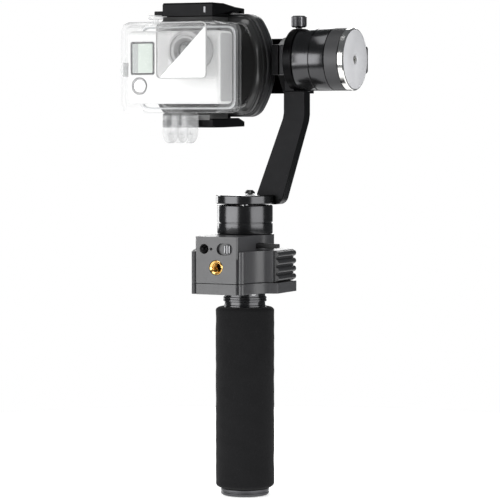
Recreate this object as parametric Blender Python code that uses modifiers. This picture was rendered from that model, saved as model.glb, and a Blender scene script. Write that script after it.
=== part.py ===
"""Handheld three-axis gimbal stabilizer, holding an action camera in a clear case.

Metres, +Z up. The handle's axis is Z, its tail cap stands on Z = 0, the camera looks along -Y
and the tilt motor lies on the +X side. Run it with blender --background --python part.py.
"""

import math

import bmesh
import bpy
from mathutils import Matrix, Vector

# Clearances
GAP = 0.0003                 # between pieces that touch, and round what seats or slides
PRESS_DEPTH = 0.0025         # how deep a shaft seats in its hub

# Handle
GRIP_RADIUS = 0.0168
GRIP_LENGTH = 0.1035
TUBE_RADIUS = 0.0122
NECK_RADIUS = 0.01155
NECK_LENGTH = 0.0090         # from the foam's top to the control box
BEAD_RADIUS = 0.0119
CELL_RADIUS = 0.0092
CELL_LENGTH = 0.0650
WIRE_HOLE_RADIUS = 0.0030
TAIL_CAP_RADIUS = 0.01375
TAIL_CAP_HEIGHT = 0.0040
TAIL_PLUG_LENGTH = 0.0080
SPRING_LENGTH = 0.0058
SPRING_TURNS = 4
CONTACT_THICKNESS = 0.0014
RING_RADIUS = 0.0123
RING_HEIGHT = 0.0028

# Control box
COVER_HEIGHT = 0.0060
SHOULDER_HEIGHT = 0.0177     # from the split line up to the top of the shoulders
TOWER_HEIGHT = 0.0084        # from the shoulders up to the yaw motor
NOSE_REACH = 0.0368          # from the yaw axis to the flat front
NOSE_HALF_WIDTH = 0.0132
SHOULDER_HALF_WIDTH = 0.0243
SHOULDER_FRONT = 0.0150
SHOULDER_BACK = 0.0110
BOX_BACK = 0.0178
BOX_WALL = 0.0022
SIDE_GRIP_DEPTH = 0.0030
RIB_COUNT = 4
INSERT_RADIUS = 0.0040
INSERT_HOLE_RADIUS = 0.0028
INSERT_DEPTH = 0.0085
INSERT_HEIGHT = 0.0152       # its axis above the box's underside
CONTROL_ROW_HEIGHT = 0.0255  # the switches above the box's underside
BUTTON_X = -0.0074
BUTTON_RADIUS = 0.0025
BUTTON_TRAVEL = 0.0008
LED_X = -0.0031
LED_RADIUS = 0.0007
SWITCH_X = 0.0053
SWITCH_WINDOW = 0.0098
SWITCH_HEIGHT = 0.0066
SWITCH_TRAVEL = 0.0036
SWITCH_RECESS = 0.0018
PORT_Y = -0.0100
PORT_WIDTH = 0.0070
PORT_HEIGHT = 0.0030
PORT_DEPTH = 0.0050
PLUG_REACH = 0.0095

# Motors
YAW_RADIUS = 0.0158
YAW_CAP_RADIUS = 0.0165
YAW_CASE_HEIGHT = 0.0162
YAW_CAP_HEIGHT = 0.0052
YAW_RUNNING_GAP = 0.0007
MOTOR_WALL = 0.0022
GROOVE = 0.0005
SHAFT_RADIUS = 0.0025
MAGNET_THICKNESS = 0.0010
TILT_Y = 0.0080
TILT_Z = 0.2480
TILT_RADIUS = 0.0175
HEAD_START = 0.0275          # left face of the arm's head ring
HEAD_WIDTH = 0.0051
HEAD_BORE = 0.0060
TILT_CASE_WIDTH = 0.0277
TILT_BAND_WIDTH = 0.0078
TILT_GROOVE_AT = 0.0103
END_CAP_WIDTH = 0.0036
END_SCREW_RADIUS = 0.0024
ROLL_X = -0.0300
ROLL_Z = 0.2452
ROLL_RADIUS = 0.0160
ROLL_HUB_WIDTH = 0.0027
ROLL_CASE_WIDTH = 0.0174

# Yaw arm
ARM_WIDTH = 0.0130
ARM_THICKNESS = 0.0076
ARM_X = 0.0223               # left edge of the upright part
ARM_KNEE_Z = 0.2170
ARM_LEAN = 0.0180            # how far the slanted part runs back to the left
ARM_CHAMFER = 0.0012
ARM_LEG = 0.0104             # how far the foot's leg runs on under the yaw cap
ARM_LEG_HEIGHT = 0.0036
ARM_SCREW_X = -0.0008
ARM_SCREW_RADIUS = 0.0033
THUMB_RADIUS = 0.0044
THUMB_HEIGHT = 0.0066
THUMB_TEETH = 24

# Tilt bracket
BLOCK_WIDTH = 0.0066
BLOCK_DEPTH = 0.0140
BLOCK_HEIGHT = 0.0170
BRACKET_X = 0.0163
BRACKET_THICKNESS = 0.0040
BRACKET_HEIGHT = 0.0320

# Camera holder
POD_FRONT = 0.0070
POD_DEPTH = 0.0180
POD_WIDTH = 0.0776
POD_HEIGHT = 0.0590
POD_SIDE_RADIUS = 0.0470
POD_CORNER = 0.0090
BEZEL_DEPTH = 0.0060
BEZEL_STEP = 0.0014
REST_PAD_SIZE = 0.0360
JAW_WIDTH = 0.0320
JAW_FRONT = -0.0130
JAW_BACK = 0.0280
TOP_JAW_HEIGHT = 0.0076
LOWER_JAW_HEIGHT = 0.0046
JAW_TAIL_HEIGHT = 0.0030
JAW_PAD_THICKNESS = 0.0031
JAW_TRAVEL = 0.0100
STEM_WIDTH = 0.0240
STEM_THICKNESS = 0.0040
STEM_LENGTH = 0.0210
STEM_Y = 0.0160

# Camera and its clear case
CASE_WIDTH = 0.0640
CASE_HEIGHT = 0.0512
CASE_BOTTOM = 0.2180
CASE_FRONT = -0.0340
CASE_SPLIT = -0.0120
CASE_BACK = -0.0080
CASE_WALL = 0.0018
CASE_CORNER = 0.0050
PORT_SQUARE = 0.0316
PORT_REACH = 0.0140
GLASS_THICKNESS = 0.0012
CAMERA_WIDTH = 0.0590
CAMERA_HEIGHT = 0.0410
CAMERA_DEPTH = 0.0172
LENS_X = -0.0158
LENS_Z = 0.2527
LENS_RADIUS = 0.0110
SCREEN_WIDTH = 0.0148
SCREEN_HEIGHT = 0.0184
FRONT_BUTTON_RADIUS = 0.0047
PRONG_THICKNESS = 0.0031
PRONG_RADIUS = 0.0075
PRONG_DROP = 0.0095
PRONG_HOLE = 0.0026
PRONG_Y = -0.0220
SHUTTER_X = -0.0456
SHUTTER_RADIUS = 0.0042
SHUTTER_TRAVEL = 0.0015

# Facets
FINE = 36
MEDIUM = 24
SMALL = 12

# Levels that follow from the sizes above
GRIP_BASE = TAIL_CAP_HEIGHT + GAP
GRIP_TOP = GRIP_BASE + GRIP_LENGTH
BORE_RADIUS = CELL_RADIUS + 0.0004
SPRING_BASE = TAIL_CAP_HEIGHT + TAIL_PLUG_LENGTH + GAP
CELL_BASE = SPRING_BASE + SPRING_LENGTH + GAP
CELL_TOP = CELL_BASE + CELL_LENGTH
BORE_TOP = CELL_TOP + CONTACT_THICKNESS + 2 * GAP
BOX_BASE = GRIP_TOP + NECK_LENGTH
SPLIT_Z = BOX_BASE + COVER_HEIGHT
SHOULDER_Z = SPLIT_Z + GAP + SHOULDER_HEIGHT
TOWER_TOP = SHOULDER_Z + TOWER_HEIGHT
INSERT_Z = BOX_BASE + INSERT_HEIGHT
CONTROL_Z = BOX_BASE + CONTROL_ROW_HEIGHT
YAW_BASE = TOWER_TOP + GAP
YAW_CASE_TOP = YAW_BASE + YAW_CASE_HEIGHT
YAW_CAP_BASE = YAW_CASE_TOP + YAW_RUNNING_GAP
YAW_CAP_TOP = YAW_CAP_BASE + YAW_CAP_HEIGHT
TILT_CASE_START = HEAD_START + HEAD_WIDTH + 2 * GAP
TILT_CASE_END = TILT_CASE_START + TILT_CASE_WIDTH
POD_BACK = POD_FRONT + POD_DEPTH
POD_TOP = ROLL_Z + POD_HEIGHT / 2
POD_BOTTOM = ROLL_Z - POD_HEIGHT / 2
ROLL_CASE_START = POD_BACK + ROLL_HUB_WIDTH + 2 * GAP
ROLL_CASE_END = ROLL_CASE_START + ROLL_CASE_WIDTH
BRACKET_BACK = ROLL_CASE_END + GAP
CASE_TOP = CASE_BOTTOM + CASE_HEIGHT
TOP_PAD_Z = CASE_TOP + GAP
LOWER_PAD_Z = CASE_BOTTOM - GAP - JAW_PAD_THICKNESS

PARTS = None
CUTTERS = None


# Setting up ---------------------------------------------------------------

def clear_scene():
    """Removes every object, so that the script can run again in the same file."""
    for thing in list(bpy.data.objects):
        bpy.data.objects.remove(thing)


def make_collections():
    """One collection for the parts and a hidden one for what cuts them."""
    global PARTS, CUTTERS
    PARTS = bpy.data.collections.new("gimbal_stabilizer")
    CUTTERS = bpy.data.collections.new("cutters")
    for group in (PARTS, CUTTERS):
        bpy.context.scene.collection.children.link(group)


def finish(name, colour, roughness, metallic=0.0, alpha=1.0):
    """A Principled material, made once for each name."""
    found = bpy.data.materials.get(name)
    if found:
        return found
    made = bpy.data.materials.new(name)
    made.use_nodes = True
    shader = made.node_tree.nodes["Principled BSDF"]
    shader.inputs["Base Color"].default_value = (*colour, 1.0)
    shader.inputs["Roughness"].default_value = roughness
    shader.inputs["Metallic"].default_value = metallic
    shader.inputs["Alpha"].default_value = alpha
    return made


def foam():
    return finish("foam", (0.012, 0.012, 0.013), 0.95)


def anodised():
    return finish("black_anodised", (0.016, 0.016, 0.017), 0.32, 0.85)


def housing():
    return finish("housing_plastic", (0.045, 0.045, 0.047), 0.42)


def soft_rubber():
    return finish("rubber", (0.012, 0.012, 0.012), 0.8)


def dark_metal():
    return finish("grey_metal", (0.09, 0.09, 0.095), 0.4, 0.9)


def silver():
    return finish("silver_aluminium", (0.75, 0.75, 0.77), 0.3, 0.9)


def brass():
    return finish("brass", (0.78, 0.52, 0.18), 0.25, 1.0)


def steel():
    return finish("steel", (0.55, 0.55, 0.57), 0.28, 1.0)


def copper():
    return finish("copper_windings", (0.55, 0.24, 0.1), 0.4, 0.9)


def circuit_board():
    return finish("circuit_board", (0.02, 0.12, 0.05), 0.5)


def cell_wrap():
    return finish("cell_wrap", (0.1, 0.25, 0.45), 0.4)


def clear_plastic():
    return finish("clear_plastic", (0.93, 0.94, 0.95), 0.08, 0.0, 0.35)


def pale_plastic():
    return finish("pale_plastic", (0.8, 0.8, 0.79), 0.35)


def glossy_black():
    return finish("gloss_black", (0.02, 0.02, 0.022), 0.12)


# Modelling helpers --------------------------------------------------------

def add(name, mesh, group=None):
    """Puts a mesh into the scene as an object."""
    made = bpy.data.objects.new(name, mesh)
    (group or PARTS).objects.link(made)
    return made


def smooth(part, angle=35):
    """Shades the round faces smooth and keeps edges sharper than the angle."""
    part.data.shade_smooth()
    part.data.set_sharp_from_angle(angle=math.radians(angle))
    return part


def from_curve(curve_object):
    """Turns a curve into a welded mesh at the same place and removes the curve."""
    bpy.context.view_layer.update()
    graph = bpy.context.evaluated_depsgraph_get()
    mesh = bpy.data.meshes.new_from_object(curve_object.evaluated_get(graph))
    name = curve_object.name
    place = curve_object.matrix_world.copy()
    group = curve_object.users_collection[0]
    bpy.data.objects.remove(curve_object)
    shape = bmesh.new()
    shape.from_mesh(mesh)
    bmesh.ops.remove_doubles(shape, verts=shape.verts, dist=1e-6)
    bmesh.ops.recalc_face_normals(shape, faces=shape.faces)
    shape.to_mesh(mesh)
    shape.free()
    made = add(name, mesh, group)
    made.matrix_world = place
    return made


def turn_to(axis):
    """Rotation that takes +Z to the named axis and keeps a plate's outline upright."""
    if axis == "X":
        return Matrix(((0, 0, 1, 0), (1, 0, 0, 0), (0, 1, 0, 0), (0, 0, 0, 1)))
    if axis == "Y":
        return Matrix(((1, 0, 0, 0), (0, 0, 1, 0), (0, -1, 0, 0), (0, 0, 0, 1)))
    return Matrix.Identity(4)


def plate(name, outline, start, end, axis="Z", group=None):
    """A flat outline given depth from start to end along an axis.

    The outline is (X, Y) for axis Z, (Y, Z) for axis X and (X, Z) for axis Y.
    """
    curve = bpy.data.curves.new(name, "CURVE")
    curve.dimensions = "2D"
    curve.fill_mode = "BOTH"
    curve.extrude = (end - start) / 2
    spline = curve.splines.new("POLY")
    spline.points.add(len(outline) - 1)
    flip = -1 if axis == "Y" else 1
    for point, (across, up) in zip(spline.points, outline):
        point.co = (across, flip * up, 0, 1)
    spline.use_cyclic_u = True
    made = bpy.data.objects.new(name, curve)
    (group or PARTS).objects.link(made)
    middle = (start + end) / 2
    offset = {"X": (middle, 0, 0), "Y": (0, middle, 0), "Z": (0, 0, middle)}[axis]
    made.matrix_world = Matrix.Translation(offset) @ turn_to(axis)
    return from_curve(made)


def revolve(name, profile, axis="Z", centre=(0, 0, 0), steps=FINE, closed=False, group=None):
    """A Screw profile of (radius, height) points, listed down its outer side."""
    mesh = bpy.data.meshes.new(name)
    count = len(profile)
    edges = [(i, i + 1) for i in range(count - 1)]
    if closed:
        edges.append((count - 1, 0))
    mesh.from_pydata([(r, 0, z) for r, z in profile], edges, [])
    made = add(name, mesh, group)
    screw = made.modifiers.new("revolve", "SCREW")
    screw.axis = "Z"
    screw.steps = steps
    screw.render_steps = steps
    screw.use_merge_vertices = True
    screw.merge_threshold = 1e-6
    screw.use_smooth_shade = True
    made.matrix_world = Matrix.Translation(centre) @ turn_to(axis)
    return made


def ring(name, outer, inner, low, high, axis="Z", centre=(0, 0, 0), steps=FINE, ease=0.0, group=None):
    """A plain ring with lightly eased outer edges."""
    profile = [(outer - ease, high), (outer, high - ease), (outer, low + ease), (outer - ease, low)]
    if not ease:
        profile = [(outer, high), (outer, low)]
    profile += [(inner, low), (inner, high)]
    return revolve(name, profile, axis, centre, steps, True, group)


def rod(name, radius, low, high, axis="Z", centre=(0, 0, 0), steps=MEDIUM, ease=0.0, group=None):
    """A solid round bar with lightly eased ends."""
    profile = [(0, high), (radius - ease, high), (radius, high - ease)]
    profile += [(radius, low + ease), (radius - ease, low), (0, low)]
    if not ease:
        profile = [(0, high), (radius, high), (radius, low), (0, low)]
    return revolve(name, profile, axis, centre, steps, False, group)


def block(name, low, high, group=None):
    """A box between two corners."""
    shape = bmesh.new()
    bmesh.ops.create_cube(shape, size=1.0)
    size = Vector(high) - Vector(low)
    bmesh.ops.scale(shape, vec=size, verts=shape.verts)
    mesh = bpy.data.meshes.new(name)
    shape.to_mesh(mesh)
    shape.free()
    made = add(name, mesh, group)
    made.location = (Vector(low) + Vector(high)) / 2
    return made


def loft(name, rings):
    """A closed skin over outlines with equal point counts, capped at both ends."""
    shape = bmesh.new()
    loops = []
    for outline in rings:
        verts = [shape.verts.new(point) for point in outline]
        count = len(verts)
        loops.append([shape.edges.new((verts[i], verts[(i + 1) % count])) for i in range(count)])
    for near, far in zip(loops, loops[1:]):
        bmesh.ops.bridge_loops(shape, edges=near + far)
    for rim in (loops[0], loops[-1]):
        bmesh.ops.holes_fill(shape, edges=rim, sides=0)
    bmesh.ops.recalc_face_normals(shape, faces=shape.faces)
    mesh = bpy.data.meshes.new(name)
    shape.to_mesh(mesh)
    shape.free()
    return add(name, mesh)


def bevel(part, width, segments=2, angle=40):
    """Rounds the edges sharper than the angle."""
    made = part.modifiers.new("ease", "BEVEL")
    made.width = width
    made.segments = segments
    made.limit_method = "ANGLE"
    made.angle_limit = math.radians(angle)
    return part


def combine(part, other, operation):
    """A Boolean with an object that is kept, hidden, with the cutters."""
    for group in list(other.users_collection):
        group.objects.unlink(other)
    CUTTERS.objects.link(other)
    other.hide_render = True
    other.display_type = "WIRE"
    made = part.modifiers.new(operation.lower(), "BOOLEAN")
    made.operation = operation
    made.object = other
    made.solver = "EXACT"
    return part


def cut(part, *others):
    for other in others:
        combine(part, other, "DIFFERENCE")
    return part


def fuse(part, *others):
    for other in others:
        combine(part, other, "UNION")
    return part


def paint(part, material):
    """Gives a part its one material."""
    part.data.materials.clear()
    part.data.materials.append(material)
    return part


def pivot(name, place, parent=None):
    """An empty on a joint's axis, which carries the pieces that move there."""
    made = bpy.data.objects.new(name, None)
    PARTS.objects.link(made)
    made.empty_display_size = 0.01
    made.location = place
    bpy.context.view_layer.update()
    if parent:
        hang(made, parent)
    return made


def hang(part, parent):
    """Parents a piece and keeps it where it is."""
    bpy.context.view_layer.update()
    part.parent = parent
    part.matrix_parent_inverse = parent.matrix_world.inverted()
    return part


def arc(centre, radius, start, end, steps):
    """Points on an arc, angles in degrees, both ends included."""
    points = []
    for i in range(steps + 1):
        angle = math.radians(start + (end - start) * i / steps)
        points.append((centre[0] + radius * math.cos(angle), centre[1] + radius * math.sin(angle)))
    return points


def rounded_box(width, height, corner, centre=(0.0, 0.0), steps=4):
    """Outline of a rectangle with round corners, counter-clockwise."""
    across = width / 2 - corner
    up = height / 2 - corner
    points = []
    for quarter, (sx, sy) in enumerate(((1, 1), (-1, 1), (-1, -1), (1, -1))):
        middle = (centre[0] + sx * across, centre[1] + sy * up)
        points += arc(middle, corner, 90 * quarter, 90 * quarter + 90, steps)
    return points


def mirrored(points):
    """A half outline followed by its mirror image across X = 0."""
    return points + [(-x, y) for x, y in reversed(points)]


# Handle -------------------------------------------------------------------

def build_tail_cap():
    """The screw cap that closes the battery tube."""
    plug = BORE_RADIUS - GAP
    top = TAIL_CAP_HEIGHT + TAIL_PLUG_LENGTH
    profile = [(0, top), (plug, top), (plug, TAIL_CAP_HEIGHT), (TAIL_CAP_RADIUS, TAIL_CAP_HEIGHT)]
    profile += [(TAIL_CAP_RADIUS, 0.0008), (TAIL_CAP_RADIUS - 0.0008, 0), (0, 0)]
    return paint(smooth(revolve("tail_cap", profile)), dark_metal())


def build_handle_tube():
    """The metal tube: battery bore below, neck and wire hole above."""
    spigot_top = SPLIT_Z - GAP
    bead_top = GRIP_TOP + 0.0013
    neck_top = BOX_BASE - GAP
    profile = [(0.0080, spigot_top), (0.0080, neck_top), (NECK_RADIUS, neck_top)]
    profile += [(NECK_RADIUS, bead_top), (BEAD_RADIUS, bead_top - 0.0004), (BEAD_RADIUS, GRIP_TOP + GAP)]
    profile += [(TUBE_RADIUS, GRIP_TOP), (TUBE_RADIUS, GRIP_BASE), (BORE_RADIUS, GRIP_BASE)]
    profile += [(BORE_RADIUS, BORE_TOP), (WIRE_HOLE_RADIUS, BORE_TOP), (WIRE_HOLE_RADIUS, spigot_top)]
    return paint(smooth(revolve("handle_tube", profile, closed=True)), anodised())


def build_foam_grip():
    """The foam sleeve, plain here."""
    sleeve = ring("foam_grip", GRIP_RADIUS, TUBE_RADIUS + GAP, GRIP_BASE, GRIP_TOP, ease=0.0018)
    return paint(smooth(sleeve, 50), foam())


def build_neck_ring():
    """The lock ring between the foam and the control box."""
    top = BOX_BASE - 3 * GAP - 0.0022
    lock = ring("neck_ring", RING_RADIUS, NECK_RADIUS + GAP, top - RING_HEIGHT, top, ease=GAP / 2)
    return paint(smooth(lock), anodised())


def build_battery_cell():
    """A round lithium cell with its raised plus end."""
    nub = 0.0030
    profile = [(0, CELL_TOP), (nub, CELL_TOP), (nub, CELL_TOP - 0.0008)]
    profile += [(CELL_RADIUS, CELL_TOP - 0.0008), (CELL_RADIUS, CELL_BASE), (0, CELL_BASE)]
    return paint(smooth(revolve("battery_cell", profile, steps=MEDIUM)), cell_wrap())


def build_battery_spring():
    """The coil that presses the cell up against its contact."""
    wire = 0.0004
    radius = 0.0055
    curve = bpy.data.curves.new("battery_spring", "CURVE")
    curve.dimensions = "3D"
    curve.bevel_depth = wire
    curve.bevel_resolution = 0
    curve.use_fill_caps = True
    count = SPRING_TURNS * 12
    spline = curve.splines.new("POLY")
    spline.points.add(count)
    rise = SPRING_LENGTH - 2 * wire
    for i, point in enumerate(spline.points):
        angle = math.tau * i / 12
        height = SPRING_BASE + wire + rise * i / count
        point.co = (radius * math.cos(angle), radius * math.sin(angle), height, 1)
    made = bpy.data.objects.new("battery_spring", curve)
    PARTS.objects.link(made)
    return paint(smooth(from_curve(made), 70), steel())


def build_battery_contact():
    """The contact disc at the top of the bore, with its wire hole."""
    low = CELL_TOP + GAP
    disc = ring("battery_contact", CELL_RADIUS, 0.0010, low, low + CONTACT_THICKNESS, steps=MEDIUM)
    return paint(smooth(disc), brass())


# Control box --------------------------------------------------------------

def box_half_outline(side):
    """Right half of the box's plan: flat nose, corner groove and ridge, concave flank, shoulder."""
    ridge = 0.0015
    ridge_x = NOSE_HALF_WIDTH + ridge
    ridge_y = -NOSE_REACH + 0.0022
    points = [(NOSE_HALF_WIDTH - 0.0008, -NOSE_REACH), (NOSE_HALF_WIDTH - 0.0002, -NOSE_REACH + 0.0016)]
    points += arc((ridge_x, ridge_y), ridge, -160, 60, 6)
    flank = Vector((side - 0.0020, -NOSE_REACH + 0.0050))
    reach = Vector((side - 0.0020 - ridge_x, -SHOULDER_FRONT - flank.y))
    for i in range(9):
        turn = math.radians(90 * i / 8)
        points.append((ridge_x + reach.x * (1 - math.cos(turn)), flank.y + reach.y * math.sin(turn)))
    points += [(side, -SHOULDER_FRONT + 0.0015), (side, SHOULDER_BACK)]
    points += [(side * 0.82, SHOULDER_BACK + 0.0040), (0.0100, BOX_BACK)]
    return points


def tower_outline():
    """Plan of the raised part: the nose, narrowing to meet the motor's circle behind."""
    back = [(x, y) for x, y in arc((0, 0), YAW_RADIUS + 0.0008, -35, 90, 10)]
    nose = [(NOSE_HALF_WIDTH - 0.0008, -NOSE_REACH), (NOSE_HALF_WIDTH, -NOSE_REACH + 0.0010)]
    return mirrored(nose + back[:-1])


def stadium(width, height, centre):
    """Outline with half-round ends, for the switch window."""
    return rounded_box(width, height, height / 2 - 1e-5, centre, 6)


def build_control_box():
    """The upper shell: shoulders, tower, and what opens through its front."""
    shell = plate("control_box", mirrored(box_half_outline(SHOULDER_HALF_WIDTH)), SPLIT_Z + GAP, SHOULDER_Z)
    tower = plate("tower", tower_outline(), SHOULDER_Z - 0.0040, TOWER_TOP)
    fuse(shell, tower)
    inside_top = SHOULDER_Z - BOX_WALL
    pocket = block("electronics_pocket", (-0.0110, -0.0250, SPLIT_Z - 0.001), (0.0110, 0.0120, inside_top))
    front = -NOSE_REACH
    seat = INSERT_DEPTH + GAP
    insert_hole = rod("insert_hole", INSERT_RADIUS + GAP, -0.001, seat, "Y", (0, front, INSERT_Z), SMALL)
    button_hole = rod("button_hole", BUTTON_RADIUS + GAP, -0.001, 0.0060, "Y",
                      (BUTTON_X, front, CONTROL_Z), SMALL)
    led_hole = rod("led_hole", LED_RADIUS + 0.0001, -0.001, 0.0020, "Y", (LED_X, front, CONTROL_Z), SMALL)
    window = plate("switch_window", stadium(SWITCH_WINDOW, SWITCH_HEIGHT, (SWITCH_X, CONTROL_Z)),
                   front - 0.001, front + SWITCH_RECESS, "Y")
    tower_side = YAW_RADIUS + 0.0008
    port_low = SHOULDER_Z + 0.0010
    socket = block("port_socket", (tower_side - PORT_DEPTH, PORT_Y - PORT_WIDTH / 2, port_low),
                   (tower_side + 0.002, PORT_Y + PORT_WIDTH / 2, port_low + PORT_HEIGHT))
    cut(shell, pocket, insert_hole, button_hole, led_hole, window, socket)
    return paint(smooth(shell), housing())


def build_box_cover():
    """The lower cover, with the hole that the tube's spigot passes through."""
    outline = mirrored(box_half_outline(SHOULDER_HALF_WIDTH + SIDE_GRIP_DEPTH))
    cover = plate("box_cover", outline, BOX_BASE, SPLIT_Z)
    spigot = rod("spigot_hole", 0.0080 + GAP, BOX_BASE - 0.001, SPLIT_Z + 0.001)
    cut(cover, spigot)
    return paint(smooth(cover), housing())


def build_side_grip(name, side):
    """A ribbed grip on one shoulder: round ribs running front to back."""
    inner = SHOULDER_HALF_WIDTH + GAP
    low = SPLIT_Z + GAP
    height = SHOULDER_Z - low
    pitch = height / RIB_COUNT
    root = inner + SIDE_GRIP_DEPTH * 0.35
    outline = [(inner, low + height), (inner, low)]
    for i in range(RIB_COUNT):
        base = low + pitch * i
        outline.append((root, base + 0.0001))
        crown = arc((root, base + pitch / 2), pitch * 0.40, -90, 90, 6)
        outline += [(min(x, inner + SIDE_GRIP_DEPTH), z) for x, z in crown]
    outline.append((root, low + height - 0.0001))
    if side < 0:
        outline = [(-x, z) for x, z in reversed(outline)]
    grip = plate(name, outline, -SHOULDER_FRONT + 0.0020, SHOULDER_BACK - 0.0005, "Y")
    return paint(smooth(grip), soft_rubber())


def build_tripod_insert():
    """The brass threaded insert; its thread is left as a plain bore."""
    front = -NOSE_REACH - 0.0002
    insert = ring("tripod_insert", INSERT_RADIUS, INSERT_HOLE_RADIUS, 0, INSERT_DEPTH, "Y",
                  (0, front, INSERT_Z), MEDIUM, 0.0003)
    return paint(smooth(insert), brass())


def build_status_led():
    """The small light pipe between the button and the switch."""
    lens = rod("status_led", LED_RADIUS, 0, 0.0018, "Y", (LED_X, -NOSE_REACH - 0.0002, CONTROL_Z), SMALL)
    return paint(smooth(lens), glossy_black())


def build_control_board():
    """The circuit board in the box's pocket."""
    low = SPLIT_Z + 0.0040
    board = block("control_board", (-0.0105, -0.0245, low), (0.0105, 0.0115, low + 0.0016))
    return paint(board, circuit_board())


def build_mode_button():
    """The domed push button."""
    front = -NOSE_REACH
    stem = 0.0045
    profile = [(0, stem), (BUTTON_RADIUS, stem), (BUTTON_RADIUS, 0.0003)]
    profile += [(BUTTON_RADIUS * math.cos(math.radians(a)), -BUTTON_RADIUS * 0.8 * math.sin(math.radians(a)))
                for a in (20, 40, 60, 75)]
    profile.append((0, -BUTTON_RADIUS * 0.8))
    button = revolve("mode_button", profile, "Y", (BUTTON_X, front, CONTROL_Z), MEDIUM)
    return paint(smooth(button, 50), glossy_black())


def build_power_slider():
    """The ridged power switch, at the right end of its window."""
    width = SWITCH_WINDOW - SWITCH_TRAVEL - 2 * GAP
    centre_x = SWITCH_X + SWITCH_WINDOW / 2 - GAP - width / 2
    height = SWITCH_HEIGHT - 2 * GAP
    floor = -NOSE_REACH + SWITCH_RECESS - GAP
    face = -NOSE_REACH + 0.0004
    slider = plate("power_slider", stadium(width, height, (centre_x, CONTROL_Z)), face, floor, "Y")
    for i in range(3):
        at = centre_x + (i - 1) * 0.0014
        ridge = block(f"slider_ridge_{i}", (at - 0.0004, face - 0.0006, CONTROL_Z - height * 0.33),
                      (at + 0.0004, face + 0.0003, CONTROL_Z + height * 0.33))
        fuse(slider, ridge)
    return paint(smooth(slider), dark_metal())


def build_port_plug():
    """The rubber plug of the charging port, with its pull tab."""
    tower_side = YAW_RADIUS + 0.0008
    low = SHOULDER_Z + 0.0010 + GAP
    high = low + PORT_HEIGHT - 2 * GAP
    half = PORT_WIDTH / 2 - GAP
    plug = block("port_plug", (tower_side - PORT_DEPTH + GAP, PORT_Y - half, low),
                 (tower_side + PLUG_REACH, PORT_Y + half * 0.5, high))
    bevel(plug, 0.0005)
    return paint(smooth(plug), soft_rubber())


# Motors -------------------------------------------------------------------

def motor_case(name, radius, length, axis, centre, grooves, step_at=None, step_radius=None):
    """A cup open at its far end: floor with a shaft hole, wall, and fine grooves outside."""
    inner = radius - MOTOR_WALL
    profile = [(inner, length)]
    top = [(radius, length)] if step_at is None else [(step_radius, length), (step_radius, step_at), (radius, step_at)]
    if step_at is not None:
        profile = [(step_radius - 0.0012, length)]
        inner = step_radius - 0.0012
    profile += top
    for at in sorted(grooves, reverse=True):
        profile += [(radius, at + GROOVE), (radius - GROOVE, at + GROOVE / 2)]
        profile += [(radius - GROOVE, at - GROOVE / 2), (radius, at - GROOVE)]
    profile += [(radius, 0.0004), (radius - 0.0004, 0), (SHAFT_RADIUS + GAP, 0)]
    profile += [(SHAFT_RADIUS + GAP, MOTOR_WALL), (inner, MOTOR_WALL)]
    return smooth(revolve(name, profile, axis, centre, closed=True))


def build_yaw_motor():
    """Case, windings and shaft of the motor that turns the arm."""
    case = motor_case("yaw_motor_case", YAW_RADIUS, YAW_CASE_HEIGHT, "Z", (0, 0, YAW_BASE), [0.0064])
    paint(case, anodised())
    low = YAW_BASE + MOTOR_WALL + GAP
    windings = ring("yaw_windings", YAW_RADIUS - MOTOR_WALL - GAP, SHAFT_RADIUS + GAP, low,
                    YAW_CASE_TOP - 0.0020, steps=MEDIUM)
    paint(smooth(windings), copper())
    return [case, windings]


def build_yaw_cap():
    """The turning cap, notched for the arm's foot and bored for its shaft."""
    ease = 0.0006
    cap = rod("yaw_cap", YAW_CAP_RADIUS, YAW_CAP_BASE, YAW_CAP_TOP, steps=FINE + 8, ease=ease)
    half = ARM_THICKNESS / 2 + GAP
    low, high = TILT_Y - half, TILT_Y + half
    foot_left = foot_edge() - GAP
    notch = block("foot_notch", (foot_left, low, YAW_CAP_BASE - 0.001), (0.030, high, YAW_CAP_TOP + 0.001))
    leg_top = YAW_CAP_BASE - GAP + ARM_LEG_HEIGHT + GAP
    pocket = block("leg_pocket", (foot_left - ARM_LEG, low, YAW_CAP_BASE - 0.001),
                   (foot_left + 0.001, high, leg_top))
    hub = rod("hub_bore", SHAFT_RADIUS + GAP, YAW_CAP_BASE - 0.001, YAW_CAP_BASE + PRESS_DEPTH + GAP,
              steps=SMALL)
    screw_hole = rod("arm_screw_hole", 0.0014 + GAP, YAW_CAP_BASE, YAW_CAP_TOP + 0.001,
                     centre=(ARM_SCREW_X, TILT_Y, 0), steps=SMALL)
    cut(cap, notch, pocket, hub, screw_hole)
    return paint(smooth(cap), anodised())


def build_yaw_shaft():
    """The shaft between the windings and the cap."""
    low = YAW_BASE + MOTOR_WALL + 2 * GAP
    shaft = rod("yaw_shaft", SHAFT_RADIUS, low, YAW_CAP_BASE + PRESS_DEPTH, steps=SMALL)
    return paint(smooth(shaft), steel())


def foot_edge():
    """Left edge of the arm where it goes down into the yaw cap."""
    return ARM_X - ARM_LEAN


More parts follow.
